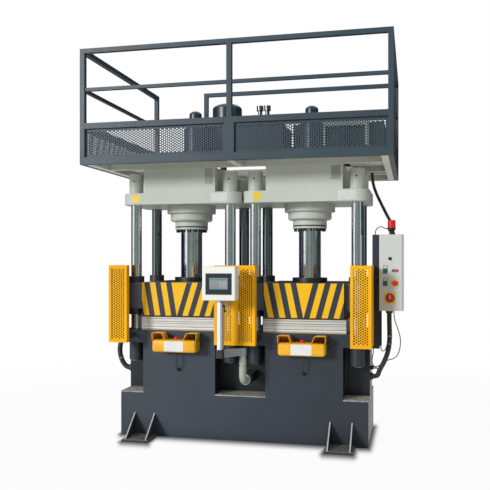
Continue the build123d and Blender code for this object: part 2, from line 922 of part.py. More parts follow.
def post_cable():
    x = post_x[0] + 8
    y = post_front + 30
    end_x = half_length + gland_nut_length
    end_y, end_z = post_cable_entry
    z = post_bottom
    points = [(x, y, z), (x, y, z - 39), (x - 10, y + 12, z - 81), (x - 15, y + 30, z - 125)]
    points += [(x - 4, y + 52, end_z + 34), (x + 22, y + 80, end_z + 10), (x + 36, y + 106, end_z + 2)]
    points += [(end_x + 25, end_y, end_z), (end_x, end_y, end_z)]
    return bent_tube(points, thin_cable_radius)


def trunking_cable():
    # Out of the trunking's lower end, round and up behind the conduit into the box.
    x = post_x[1] + trunking_size[0] / 2
    y = post_front + trunking_size[1] / 2
    back = conduit_y + 40
    z = trunking_bottom
    points = [(x, y, z), (x, y, z - 28), (x + 15, y + 9, z - 53), (x + 38, y + 22, z - 46)]
    points += [(x + 52, y + 33, z - 6), (x + 60, back - 3, z + 58), (x + 58, back, z + 138)]
    points += [(x + 58, back, box_bottom)]
    return bent_tube(points, thin_cable_radius)


def gland(radius):
    # Gland nut round a cable, drawn along +Z.
    wide = radius + gland_wall
    shoulder = gland_nut_length - gland_taper
    outline = [(radius, 0), (wide, 0), (wide, shoulder), (radius + gland_lip, gland_nut_length)]
    return turned(outline + [(radius, gland_nut_length)])


def cable_glands():
    pieces = []
    pieces.append(Pos(*conduit_entry) * Rot(0, 90, 0) * gland(box_conduit_radius))
    for y, z in (post_cable_entry, loop_cable_entry):
        pieces.append(Pos(half_length, y, z) * Rot(0, 90, 0) * gland(thin_cable_radius))
    for entry in (left_entry, left_exit):
        pieces.append(Pos(*entry) * Rot(0, -90, 0) * gland(left_conduit_radius))
    pieces.append(Pos(conduit_x, conduit_y, box_bottom) * Rot(180, 0, 0) * gland(box_conduit_radius))
    pieces.append(Pos(*hose_entry) * gland(crown_hose_radius))
    for x in station_xs.values():
        pieces.append(facing_front(gland(station_cable_radius), x, -half_depth, cable_entry_z))
    return pieces


inner_half = platform_half - frame_bar
inner_front = platform_front + frame_bar
inner_rear = platform_rear - frame_bar


def platform_frame():
    # Dark perimeter, then beams and deck plates within it.
    z = (crown_top, frame_top)
    pieces = [slab((-platform_half, platform_half), (platform_front, inner_front), z)]
    pieces.append(slab((-platform_half, platform_half), (inner_rear, platform_rear), z))
    for x in ((-platform_half, -inner_half), (inner_half, platform_half)):
        pieces.append(slab(x, (inner_front, inner_rear), z))
    return pieces


def platform_deck():
    under = (crown_top, frame_top - deck_thickness)
    plate = (frame_top - deck_thickness, frame_top)
    pieces = []
    beams = [(walkway_rear - beam_width, walkway_rear), (middle_beam_front, middle_beam_front + beam_width)]
    beams += [(rear_deck_front, rear_deck_front + beam_width), (inner_rear - beam_width, inner_rear)]
    for y in beams:
        pieces.append(slab((-inner_half, inner_half), y, under))
    edges = [inner_front] + [edge for beam in beams for edge in beam]
    for low, high in zip(edges[0::2], edges[1::2]):
        for x in (-inner_half, inner_half - beam_width):
            pieces.append(slab((x, x + beam_width), (low, high), under))
    half = beam_width / 2
    pieces.append(slab((-half, half), (inner_front, beams[0][0]), under))
    pieces.append(slab((-half, half), (beams[2][1], beams[3][0]), under))
    pieces.append(slab((-inner_half, inner_half), (inner_front, walkway_rear), plate))
    pieces.append(slab((-inner_half, inner_half), (rear_deck_front, inner_rear), plate))
    for x in ((-inner_half, -side_deck_inner), (side_deck_inner, inner_half)):
        pieces.append(slab(x, (walkway_rear, rear_deck_front), plate))
    return pieces


infill_top = frame_top + infill_height
infill_rail_top = infill_top + infill_rail
bar_inset = (frame_bar - mid_rail_size) / 2


def infill_sheets():
    z = (frame_top, infill_top)
    middle = platform_front + frame_bar / 2
    pieces = []
    for x in ((-inner_half, -frame_bar), (frame_bar, inner_half)):
        pieces.append(slab(x, (middle - sheet / 2, middle + sheet / 2), z))
    for side in signs:
        at = side * (platform_half - frame_bar / 2)
        pieces.append(slab((at - sheet / 2, at + sheet / 2), (inner_front, inner_rear), z))
    return pieces


def railings():
    top = (rail_top - rail_height, rail_top)
    mid = (mid_rail_top - mid_rail_size, mid_rail_top)
    low = (infill_top, infill_rail_top)
    front = (platform_front, inner_front)
    rear = (inner_rear, platform_rear)
    pieces = []
    for x in ((-platform_half, -inner_half), (inner_half, platform_half)):
        for y in (front, rear):
            pieces.append(slab(x, y, (frame_top, rail_top)))
        narrow = (x[0] + bar_inset, x[1] - bar_inset)
        pieces.append(slab(x, (inner_front, inner_rear), top))
        pieces.append(slab(narrow, (inner_front, inner_rear), mid))
        pieces.append(slab(x, (inner_front, inner_rear), low))
    half = frame_bar / 2
    pieces.append(slab((-frame_bar, frame_bar), front, (frame_top, infill_rail_top)))
    pieces.append(slab((-half, half), front, (infill_rail_top, rail_top - rail_height)))
    pieces.append(slab((-inner_half, inner_half), front, top))
    narrow = (platform_front + bar_inset, inner_front - bar_inset)
    for x, reach in ((-1, (-inner_half, -half)), (1, (half, inner_half))):
        pieces.append(slab(reach, narrow, mid))
        pieces.append(slab(sorted((x * frame_bar, x * inner_half)), front, low))
    # The back has an opening for access beside its left post.
    pieces.append(slab((access_left, access_left + frame_bar), rear, (frame_top, rail_top)))
    narrow = (inner_rear + bar_inset, platform_rear - bar_inset)
    pieces.append(slab((access_left + frame_bar, inner_half), rear, top))
    pieces.append(slab((access_left + frame_bar, inner_half), narrow, mid))
    return pieces


tank_bottom = frame_top + tank_bottom_rise
tank_top = tank_bottom + tank_height


def oil_tank():
    pieces = [slab(tank_x, tank_y, (tank_bottom, tank_top - lid_thickness))]
    lid_x = (tank_x[0] - lid_margin, tank_x[1] + lid_margin)
    lid_y = (tank_y[0] - lid_margin, tank_y[1] + lid_margin)
    pieces.append(slab(lid_x, lid_y, (tank_top - lid_thickness, tank_top)))
    for x in (tank_x[0], tank_x[1] - tank_leg):
        for y in (tank_y[0], tank_y[1] - tank_leg):
            floor = frame_top if y > rear_deck_front else frame_top - deck_thickness
            pieces.append(slab((x, x + tank_leg), (y, y + tank_leg), (floor, tank_bottom)))
    return pieces


def reserve_tank():
    # Second tank on two skids, on the rear deck beside the first.
    wide, tall = reserve_skid
    x = (tank_x[1] + reserve_tank_margin, platform_half - reserve_tank_inset)
    pieces = [slab(x, reserve_tank_y, (frame_top + tall, reserve_tank_top))]
    for left in (x[0], x[1] - wide):
        pieces.append(slab((left, left + wide), reserve_tank_y, (frame_top, frame_top + tall)))
    return pieces


def dished_end(radius, height):
    # Half of a flattened sphere, standing on Z = 0.
    arc = EllipticalCenterArc((0, 0), radius, height, arc_size=90)
    profile = make_face(arc + Polyline((0, height), (0, 0), (radius, 0)))
    return revolve(Plane.XZ * profile, Axis.Z)


def pump_motor():
    lantern_top = tank_top + motor_lantern_height
    dome = motor_top - motor_dome_height
    outline = [(0, tank_top), (motor_lantern_radius, tank_top), (motor_lantern_radius, lantern_top)]
    outline += [(motor_radius, lantern_top), (motor_radius, dome), (0, dome)]
    return turned(outline, motor_at) + Pos(*motor_at, dome) * dished_end(motor_radius, motor_dome_height)


def prefill_tank(station_x):
    flange_radius = prefill_radius + prefill_flange
    flange_top = crown_top + prefill_flange
    neck = prefill_shoulder + prefill_cone_height
    outline = [(0, crown_top), (flange_radius, crown_top), (flange_radius, flange_top)]
    outline += [(prefill_radius, flange_top), (prefill_radius, prefill_shoulder)]
    outline += [(prefill_cone_radius, neck), (prefill_neck_radius, neck)]
    cap = prefill_top - prefill_cap_height
    outline += [(prefill_neck_radius, cap), (0, cap)]
    dome = dished_end(prefill_neck_radius, prefill_cap_height)
    return turned(outline, (station_x, prefill_y)) + Pos(station_x, prefill_y, cap) * dome


def valve_stack():
    x, y = valve_at
    wide, deep, tall = valve_block
    low = tank_top
    block = slab((x - wide / 2, x + wide / 2), (y - deep / 2, y + deep / 2), (low, low + tall))
    cap = valve_top - valve_cap_height
    for side in signs:
        at = (x + side * wide / 4, y)
        block += rod(at, (low + tall, cap), valve_stem_radius)
        block += rod(at, (cap, valve_top), valve_cap_radius)
    return block


def pipework():
    # One pipe from the valve block to the back of each prefill tank.
    x, y = valve_at
    left, right = station_xs.values()
    end_y = prefill_y + prefill_neck_radius
    level = tank_top + pipe_rise
    bend_y = y + right_pipe_shift
    points = [(x + valve_block[0] / 2, bend_y, level), (right, bend_y, level), (right, end_y, level)]
    pieces = [bent_tube(points, pipe_radius)]
    bend_y = end_y + left_pipe_stand_off
    start_x = x + left_pipe_shift
    points = [(start_x, y - valve_block[1] / 2, level), (start_x, bend_y, level)]
    points += [(left, bend_y, level), (left, end_y, level)]
    pieces.append(bent_tube(points, pipe_radius))
    return pieces


def pipe_portal():
    bar = portal_bar
    low, high = portal_x
    y = (portal_y, portal_y + bar)
    beam = slab((low, high), y, (portal_top - bar, portal_top))
    posts = [slab(x, y, (frame_top, portal_top)) for x in ((low - bar, low), (high, high + bar))]
    return [beam] + posts


save("base_frame", base_frame())
save("anchor_feet", anchor_feet())
save("table_plate", table_plate())
save("columns", [column(place) for place in all_columns])
save("column_nuts", column_nuts())
save("crowns", [solid for x in station_xs.values() for solid in crown(x)])
save("cylinders", [cylinder(x) for x in station_xs.values()])
save("cylinder_glands", [cylinder_gland(x) for x in station_xs.values()])
lower_hot_top = lower_hot_bottom + lower_hot_height
lower_stack = []
for x in station_xs.values():
    lower_stack.append(hot_slab(x, table_top, lower_hot_bottom))
    lower_stack.append(hot_slab(x, lower_hot_bottom, lower_hot_top, (0.35,)))
save("lower_hot_platens", lower_stack)
for name, x in station_xs.items():
    save(f"{name}_ram", ram(x))
    save(f"{name}_moving_platen", moving_platen(x))
    save(f"{name}_bushes", bushes(x))
    insulation = hot_slab(x, upper_hot_top, moving_bottom)
    save(f"{name}_upper_hot_platen", [hot_slab(x, upper_hot_bottom, upper_hot_top, (0.3, 0.75)), insulation])
save("side_guards", [side_guard(side) for side in signs])
save("centre_guard", centre_guard())
save("guard_brackets", guard_brackets())
save("hand_stations", [hand_station(x) for x in station_xs.values()])
station_top = station_bottom + station_height
for name, x in station_xs.items():
    for side, place in (("left", palm_x(-1)), ("right", palm_x(1))):
        palm = push_button(palm_radius, palm_height, palm_travel)
        save(f"{name}_station_{side}_palm", Pos(x + place, station_button_y(), station_top) * palm)
    stop = push_button(stop_radius, stop_height, stop_travel)
    save(f"{name}_station_stop", Pos(x, station_button_y(), station_top) * stop)
save("station_cables", [station_cable(x) for x in station_xs.values()])
save("swivel_elbow", swivel_elbow())
save("swivel_head", swivel_head())
save("panel_arm", panel_arm())
save("panel_tube", panel_tube())
save("panel_housing", panel_housing())
save("panel_display", panel_display())
save("clamp_lever", clamp_lever())
save("box_post", [box_post(), trunking()])
save("control_box", control_box())
save("control_bezels", control_bezels())
save("upper_green_button", box_button("upper_green_button", lamp_button))
save("lower_green_button", box_button("lower_green_button", lamp_button))
save("start_button", box_button("start_button", start_size))
save("off_button", box_button("off_button", off_size))
save("box_stop_button", box_button("box_stop_button", box_stop_size))
save("key_switch", key_switch())
save("main_switch", main_switch())
save("beacon", beacon())
save("box_conduit", box_conduit())
save("crown_hose", crown_hose())
save("left_conduit", left_conduit())
save("thin_cables", [beacon_cable(), loop_cable(), post_cable(), trunking_cable()])
save("cable_glands", cable_glands())
save("platform_frame", platform_frame())
save("platform_deck", platform_deck())
save("infill_sheets", infill_sheets())
save("railings", railings())
save("oil_tank", oil_tank() + reserve_tank())
save("pump_motor", pump_motor())
save("prefill_tanks", [prefill_tank(x) for x in station_xs.values()])
save("valve_stack", valve_stack())
save("pipework", pipework() + pipe_portal())
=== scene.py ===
# Twin-station moulding press, dressed for a studio picture.
# Metres throughout: X along the press, Y away from the operator, Z up from the floor.
# Tones are screen colours, 0 to 255. A noise takes its scale, detail, roughness and stretch.

import math

import bpy
import numpy as np
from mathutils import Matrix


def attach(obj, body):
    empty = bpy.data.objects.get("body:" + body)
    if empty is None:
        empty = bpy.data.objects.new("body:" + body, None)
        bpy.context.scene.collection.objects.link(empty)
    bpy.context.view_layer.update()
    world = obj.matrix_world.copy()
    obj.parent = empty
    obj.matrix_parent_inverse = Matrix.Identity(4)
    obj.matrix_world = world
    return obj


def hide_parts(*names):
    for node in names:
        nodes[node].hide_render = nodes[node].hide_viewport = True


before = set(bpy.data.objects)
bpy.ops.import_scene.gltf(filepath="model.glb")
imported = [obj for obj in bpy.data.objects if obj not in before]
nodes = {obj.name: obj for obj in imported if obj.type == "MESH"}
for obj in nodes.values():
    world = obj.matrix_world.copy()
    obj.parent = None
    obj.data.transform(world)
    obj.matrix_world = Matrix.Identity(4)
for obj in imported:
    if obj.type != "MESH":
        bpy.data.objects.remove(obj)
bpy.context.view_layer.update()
scene = bpy.context.scene
stations = {"left": -0.579, "right": 0.579}
print("frame loaded")

cameraPlace = {"at": (1.520, -6.702, 1.628), "turn": 13.15, "lens": 52.82, "sensor": 36, "shiftY": 0.0316}
eye = bpy.data.objects.new("camera", bpy.data.cameras.new("camera"))
scene.collection.objects.link(eye)
eye.location = cameraPlace["at"]
eye.rotation_euler = (math.radians(90), 0, math.radians(cameraPlace["turn"]))
eye.data.sensor_width = cameraPlace["sensor"]
eye.data.lens = cameraPlace["lens"]
eye.data.shift_y = cameraPlace["shiftY"]
eye.data.clip_end = 200
scene.camera = eye


def makePiece(name, points, faces, body, paint, smooth=False, replaces=()):
    mesh = bpy.data.meshes.new(name)
    mesh.from_pydata(np.asarray(points).reshape(-1, 3).tolist(), [], [list(f) for f in faces])
    mesh.polygons.foreach_set("use_smooth", np.full(len(mesh.polygons), smooth))
    mesh.update()
    mesh.materials.append(paint)
    piece = bpy.data.objects.new(name, mesh)
    scene.collection.objects.link(piece)
    if body:
        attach(piece, body)
    if replaces:
        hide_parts(*replaces)
    return piece


def gridFaces(rows, columns, closed=False):
    # Quads between neighbouring rows of a grid of points; closed joins the last column to the first
    last = columns if closed else columns - 1
    r, c = np.meshgrid(np.arange(rows - 1), np.arange(last), indexing="ij")
    r, c = r.ravel(), c.ravel()
    d = (c + 1) % columns
    return np.stack((r * columns + c, r * columns + d, (r + 1) * columns + d, (r + 1) * columns + c), 1)


def cappedRings(rows, sides):
    # Faces of a tube made of rings of points, with a cap at either end
    caps = [list(range(sides))[::-1], [(rows - 1) * sides + i for i in range(sides)]]
    return gridFaces(rows, sides, True).tolist() + caps


crisp = 0.0004


def linear(r, g, b):
    # 0-255 screen colour to the light that shows it
    c = np.array((r, g, b)) / 255
    return (*np.where(c <= 0.04045, c / 12.92, ((c + 0.055) / 1.055) ** 2.4).tolist(), 1.0)


class Wire:
    # One output in a node tree; plain maths on it adds Math nodes
    def __init__(self, paint, socket):
        self.paint = paint
        self.socket = socket

    def maths(self, operation, *values):
        return self.paint.node("ShaderNodeMath", {"operation": operation}, values)

    def __add__(self, other):
        return self.maths("ADD", self, other)

    def __sub__(self, other):
        return self.maths("SUBTRACT", self, other)

    def __rsub__(self, other):
        return self.maths("SUBTRACT", other, self)

    def __mul__(self, other):
        return self.maths("MULTIPLY", self, other)

    def __lt__(self, other):
        return self.maths("LESS_THAN", self, other)

    def __gt__(self, other):
        return self.maths("GREATER_THAN", self, other)

    __radd__ = __add__
    __rmul__ = __mul__

    def size(self):
        return self.maths("ABSOLUTE", self)

    def most(self, other):
        return self.maths("MAXIMUM", self, other)

    def least(self, other):
        return self.maths("MINIMUM", self, other)

    def ramp(self, low, high):
        # 0 up to low, 1 from high on, smooth between
        settings = {"interpolation_type": "SMOOTHSTEP"}
        return self.paint.node("ShaderNodeMapRange", settings, {0: self, 1: low, 2: high})

    def band(self, low, high, soft=crisp):
        return self.ramp(low - soft, low + soft) * (1 - self.ramp(high - soft, high + soft))


class Paint:
    # One node tree with its shader; node() makes every node in it
    def __init__(self, name, tree=None):
        if tree is None:
            self.material = bpy.data.materials.new(name)
            self.material.use_nodes = True
            tree = self.material.node_tree
        self.tree = tree
        tree.nodes.clear()

    def node(self, kind, settings=None, inputs=None, out=0):
        made = self.tree.nodes.new(kind)
        for key, value in (settings or {}).items():
            setattr(made, key, value)
        pairs = inputs.items() if isinstance(inputs, dict) else enumerate(inputs or ())
        for key, value in pairs:
            if isinstance(value, Wire):
                self.tree.links.new(value.socket, made.inputs[key])
            else:
                made.inputs[key].default_value = value
        return Wire(self, made.outputs[out] if len(made.outputs) else None)

    def place(self):
        return self.node("ShaderNodeTexCoord", out="Object")

    def axes(self):
        parts = self.node("ShaderNodeSeparateXYZ", None, [self.place()]).socket.node
        return [Wire(self, parts.outputs[i]) for i in range(3)]

    def stretched(self, scale):
        return self.node("ShaderNodeVectorMath", {"operation": "MULTIPLY"}, {0: self.place(), 1: scale})

    def noise(self, scale, detail=3, rough=0.5, stretch=None):
        where = self.stretched(stretch) if stretch else self.place()
        inputs = {"Vector": where, "Scale": scale, "Detail": detail, "Roughness": rough}
        return self.node("ShaderNodeTexNoise", None, inputs)

    def blend(self, mask, first, second):
        # first where the mask is 0, second where it is 1
        return self.node("ShaderNodeMix", {"data_type": "RGBA"}, {0: mask, 6: first, 7: second}, 2)

    def tint(self, colour, mask, tone):
        return self.blend(mask, colour, linear(*tone))

    def mottle(self, mask, first, second):
        return self.blend(mask, linear(*first), linear(*second))

    def rounding(self, radius):
        return self.node("ShaderNodeBevel", {"samples": 6}, {"Radius": radius})

    def edge(self, soft):
        # 0 on open faces, towards 0.3 on square edges: the rounded normal against the flat one
        flat = self.node("ShaderNodeNewGeometry", out="True Normal")
        same = self.node("ShaderNodeVectorMath", {"operation": "DOT_PRODUCT"}, {0: soft, 1: flat}, "Value")
        return 1 - same

    def upward(self):
        flat = self.node("ShaderNodeNewGeometry", out="True Normal")
        parts = self.node("ShaderNodeSeparateXYZ", None, [flat]).socket.node
        return Wire(self, parts.outputs[2])

    def bump(self, height, distance, normal=None):
        inputs = {"Height": height, "Distance": distance, "Strength": 1.0}
        if normal:
            inputs["Normal"] = normal
        return self.node("ShaderNodeBump", None, inputs)

    def seenBy(self, *kinds):
        # 1 for these kinds of ray
        path = self.node("ShaderNodeLightPath").socket.node
        seen = Wire(self, path.outputs[kinds[0]])
        for kind in kinds[1:]:
            seen = seen.most(Wire(self, path.outputs[kind]))
        return seen

    def shade(self, **sockets):
        names = {"colour": "Base Color", "rough": "Roughness", "metal": "Metallic", "normal": "Normal",
                 "gloss": "Specular IOR Level"}
        shader = self.node("ShaderNodeBsdfPrincipled", None, {names[k]: v for k, v in sockets.items()})
        self.node("ShaderNodeOutputMaterial", None, [shader])
        return self.material


def fromStation(x):
    # Distance along X from the middle of the nearer station
    return (x.size() - stations["right"]).size()


def tones(colour, shade, worn, rough, **more):
    return {"colour": colour, "shade": shade, "worn": worn, "rough": rough, **more}


sprayed = {"rounding": 0.0035, "depth": 0.00045, "metal": 0.7, "gloss": 0.28, "dust": 0.26}
paintLooks = {
    "basePaint": tones((62, 72, 83), (54, 63, 73), (150, 152, 150), 0.38, wear=0.7),
    "footPaint": tones((58, 67, 76), (50, 58, 67), (196, 197, 190), 0.38, wear=1.0, rounding=0.0045),
    "crownPaint": tones((198, 205, 196), (187, 194, 184), (120, 122, 118), 0.42, wear=0.45),
    "railPaint": tones((61, 76, 85), (53, 67, 76), (120, 126, 128), 0.4, wear=0.4),
    "deckPaint": tones((190, 194, 184), (178, 182, 172), (140, 140, 134), 0.5, wear=0.4),
    "guardPaint": tones((250, 188, 8), (243, 174, 4), (200, 140, 30), 0.46, wear=0.2, rounding=0.0006,
                        metal=0.0, gloss=0.18),
    "bracketPaint": tones((52, 58, 66), (45, 50, 57), (120, 122, 122), 0.42, wear=0.4),
    "armPaint": tones((176, 184, 170), (164, 172, 158), (110, 112, 108), 0.4, wear=0.4),
    "tankPaint": tones((50, 63, 76), (42, 54, 66), (120, 126, 130), 0.28, wear=0.4, gloss=0.5, dust=0.1),
    "creamPaint": tones((243, 242, 232), (236, 235, 224), (190, 188, 178), 0.4, wear=0.15),
    "boxPaint": tones((207, 212, 208), (199, 204, 200), (160, 162, 160), 0.48, wear=0.2),
    "platenPaint": tones((66, 71, 79), (57, 62, 70), (148, 148, 145), 0.4, wear=0.6),
}


def paintedSteel(name, look, special=None):
    # Sprayed paint: slow drift of tone, faint runs, orange peel, dust on top faces, bare metal along edges
    look = {**sprayed, **look}
    paint = Paint(name)
    fine, runs = paint.noise(46, 5, 0.62), paint.noise(1, 4, 0.55, (34, 34, 1.6))
    soft = paint.rounding(look["rounding"])
    colour = paint.mottle(paint.noise(1.7, 4).ramp(0.32, 0.7), look["colour"], look["shade"])
    colour = paint.tint(colour, runs.ramp(0.56, 0.8) * 0.35, look["shade"])
    if special:
        colour = special(paint, colour)
    dust = paint.upward().ramp(0.5, 0.95) * paint.noise(9, 5, 0.6).ramp(0.35, 0.75) * look["dust"]
    colour = paint.tint(colour, dust, (170, 168, 160))
    worn = (paint.edge(soft) + (fine - 0.5) * 0.42).ramp(0.13, 0.2) * look["wear"]
    scuff = paint.noise(1, 6, 0.7, (60, 60, 14)).ramp(0.68, 0.74) * 0.25 * look["wear"]
    worn = worn.most(scuff)
    colour = paint.tint(colour, worn, look["worn"])
    peel = paint.noise(260, 2) * 0.5 + fine * 0.5
    normal = paint.bump(peel - worn * 0.6, look["depth"], soft)
    rough = look["rough"] + (fine - 0.5) * 0.14 + dust * 0.5 + worn * 0.1 + (runs - 0.5) * 0.1
    return paint.shade(colour=colour, rough=rough, metal=worn * look["metal"], normal=normal, gloss=look["gloss"])


baseLook = {"notch": (0.4108, 0.8655), "notchFront": -0.396, "notchFloor": (0.36, 0.45, 0.002), "endX": 1.1445,
            "lip": (0.400, 0.4105, 0.0015), "lipFront": -0.385, "pedestalHalf": 0.3465, "mopped": (0.0, 0.14)}


def baseMarksAndShade(paint, colour):
    # Painted shade: darker to the right where the light falls off, near black deep in the notches, and a bluish
    # right end standing for the shade on that face; also scraped notch floors with bright front edges, and a
    # darker foot from mopping
    look = baseLook
    x, y, z = paint.axes()
    # Painted shade: darker towards the right, as the light falls off
    colour = paint.tint(colour, x.ramp(-1.0, 1.1) * 0.85, (44, 51, 58))
    # Painted shade deep in the notches
    shadedInside = (y > look["notchFront"]) * z.band(*look["notch"]) * (x.size() < look["endX"])
    colour = paint.tint(colour, shadedInside * 0.85, (20, 24, 29))
    notchFloor = paint.upward().ramp(0.7, 0.95) * z.band(*look["notchFloor"])
    scraped = paint.noise(14, 6, 0.7).ramp(0.3, 0.58)
    colour = paint.tint(colour, notchFloor * (scraped * 0.55 + 0.4), (205, 204, 184))
    openPart = fromStation(x) > look["pedestalHalf"]
    lip = z.band(*look["lip"]) * (y < look["lipFront"]) * openPart * (0.4 + scraped * 0.6)
    colour = paint.tint(colour, lip * 0.7, (196, 201, 192))
    # Painted shade: the right end face in a bluish tone
    colour = paint.tint(colour, (x > look["endX"]) * 0.85, (48, 61, 88))
    mopped = (1 - z.ramp(*look["mopped"])) * paint.noise(11, 5, 0.65).ramp(0.4, 0.7)
    return paint.tint(colour, mopped * 0.35, (40, 46, 52))


stripeLook = {"top": 1.426, "front": -0.4095, "slope": 0.237, "wider": 0.0022, "soft": 0.0006, "middle": 0.589,
              "lean": 0.033, "leftShift": 1.161, "leftLean": 0.039, "litLugsFrom": 0.3565,
              "dark": ((0.076, 0.124), (0.182, 0.230), (0.288, 0.336), (0.390, 0.9))}


def chevrons(paint, colour):
    # Yellow and dark stripes down the front face, falling away from the middle of each station;
    # the left one is masked a little askew, as hand-taped stripes are
    look = stripeLook
    x, y, z = paint.axes()
    down = look["top"] - z
    onLeft = x < 0
    fromMiddle = x - look["middle"] + down * look["lean"] + onLeft * (look["leftShift"] + down * look["leftLean"])
    out = fromMiddle.size() + down * look["slope"]
    # Painted light: the side lugs are lighter, standing for light where the guard throws its shadow
    colour = paint.tint(colour, fromStation(x) > look["litLugsFrom"], (98, 104, 112))
    yellow, soft, wider = 1, look["soft"], look["wider"]
    for low, high in look["dark"]:
        begun = (out + wider).ramp(low - soft, low + soft)
        yellow = yellow - begun * (1 - (out - wider).ramp(high - soft, high + soft))
    bright = paint.mottle(paint.noise(5, 3), (250, 197, 14), (243, 184, 8))
    face = paint.blend(yellow, linear(50, 55, 68), bright)
    face = paint.tint(face, paint.noise(30, 6, 0.7).ramp(0.6, 0.72) * 0.18, (120, 108, 70))
    return paint.blend(y < look["front"], colour, face)


nutLook = {"pinOut": 0.46, "pinZ": 2.372, "pinRadiusSquared": 0.00007, "pinFront": -0.3, "lower": 1.5}


def nutShades(paint, colour):
    # Crown colour above, with a pin hole painted as a dark spot of shade in each front; painted shade below, under
    # the table
    look = nutLook
    x, y, z = paint.axes()
    across, up = fromStation(x) - look["pinOut"], z - look["pinZ"]
    pinHoleShade = (across * across + up * up < look["pinRadiusSquared"]) * (y < look["pinFront"])
    colour = paint.tint(colour, pinHoleShade, (52, 56, 56))
    return paint.tint(colour, z < look["lower"], (48, 55, 64))


def footTone(paint, colour):
    # Scraped sloping edges of the gussets and trodden top of the plate
    facing = paint.upward()
    scraped = paint.noise(40, 5, 0.65).ramp(0.25, 0.55)
    colour = paint.tint(colour, facing.band(0.2, 0.9, 0.03) * (0.55 + scraped * 0.4), (205, 206, 200))
    return paint.tint(colour, facing.ramp(0.9, 0.98) * scraped * 0.6, (150, 152, 146))


guardShadeZone = {"behind": -0.5945, "centreHalf": 0.1846, "side": (1.0056, 1.1816)}


def guardInsideShade(paint, colour):
    # Painted shade: inner faces of the folded guards, behind the perforated front, are darkened
    x, y, _ = paint.axes()
    side, (low, high) = x.size(), guardShadeZone["side"]
    shadedInside = (y > guardShadeZone["behind"]) * ((side < guardShadeZone["centreHalf"]) + (side > low) * (side < high))
    return paint.tint(colour, shadedInside * 0.82, (92, 52, 12))


def deckUndersideLight(paint, colour):
    # Painted light: the underside is paler, for the light thrown up from the floor
    return paint.tint(colour, paint.upward() < -0.5, (244, 242, 230))


def glandTone(paint, colour):
    # Bright ring over the dark screws, with a black line of painted shade in the groove where it meets the
    # cylinder
    z = paint.axes()[2]
    colour = paint.tint(colour, z.band(1.944, 1.956, 0.0006), (20, 22, 24))
    return paint.tint(colour, z < 1.9252, (34, 37, 42))


def ductTone(paint, colour):
    # Black cable duct beside the dark post
    return paint.tint(colour, paint.axes()[0] > 1.2322, (34, 36, 40))


# Paints with marks, painted light and painted shade of their own: the look they start from, and their marks
markedAndShaded = {
    "basePaint": ("basePaint", baseMarksAndShade), "platenPaint": ("platenPaint", chevrons),
    "footPaint": ("footPaint", footTone), "deckPaint": ("deckPaint", deckUndersideLight),
    "guardPaint": ("guardPaint", guardInsideShade), "nutPaint": ("crownPaint", nutShades),
    "glandPaint": ("crownPaint", glandTone), "postPaint": ("bracketPaint", ductTone),
}
paints = {}
for name, (look, special) in ({name: (name, None) for name in paintLooks} | markedAndShaded).items():
    paints[name] = paintedSteel(name, paintLooks[look], special)

metalLook = {"rings": (1, 3, 0.6, (3, 3, 900)), "film": (6, 4, 0.6), "filmRamp": (0.35, 0.7), "depth": 0.00005,
             "tableTop": 0.864, "flangeTop": 1.4685}


def polishedSteel(name, tone, rough, streak, rearShade=0.0):
    # Ground round bar: fine rings round the bar, faint oil film, small scratches
    paint = Paint(name)
    _, y, z = paint.axes()
    rings, film = paint.noise(*metalLook["rings"]), paint.noise(*metalLook["film"])
    lines = paint.noise(1, 4, 0.6, (150, 150, 5))
    colour = paint.mottle(film.ramp(*metalLook["filmRamp"]), tone, [c - 16 for c in tone])
    colour = paint.tint(colour, lines.ramp(0.6, 0.7) * streak, (120, 124, 128))
    # Painted shade: bars behind, and ends below the table, are darkened as they stand in the dark
    colour = paint.tint(colour, (y > 0).most(z < metalLook["tableTop"]) * rearShade, (106, 113, 116))
    normal = paint.bump(rings * 0.6 + lines * 0.4, metalLook["depth"])
    return paint.shade(colour=colour, rough=rough + film * 0.05 + rings * 0.04, metal=1.0, normal=normal)


def ramFinish():
    # Chromed rod above a blackened flange
    paint = Paint("ramFinish")
    flange = paint.axes()[2] < metalLook["flangeTop"]
    rings, film = paint.noise(*metalLook["rings"]), paint.noise(*metalLook["film"])
    drawn = paint.noise(1, 5, 0.65, (260, 260, 1.5)).ramp(0.5, 0.72)
    chrome = paint.mottle(film.ramp(*metalLook["filmRamp"]), (230, 233, 232), (210, 214, 214))
    chrome = paint.tint(chrome, drawn * 0.4, (150, 158, 158))
    colour = paint.blend(flange, chrome, paint.mottle(paint.noise(20, 5), (30, 32, 36), (46, 49, 54)))
    rough = flange * 0.3 + 0.06 + film * 0.06 + rings * 0.04
    normal = paint.bump(rings, metalLook["depth"], paint.rounding(0.003))
    return paint.shade(colour=colour, rough=rough, metal=1 - flange * 0.85, normal=normal)


paints["columnSteel"] = polishedSteel("columnSteel", (228, 231, 232), 0.05, 0.25, 0.85)
paints["valveSteel"] = polishedSteel("valveSteel", (120, 124, 124), 0.26, 0.4)
paints["ramFinish"] = ramFinish()

hotLook = {"rounding": 0.0015, "depth": 0.0002, "lowerSheet": 0.9952, "brightTo": 1.0104, "between": 1.05,
           "upperSheet": 1.1018}


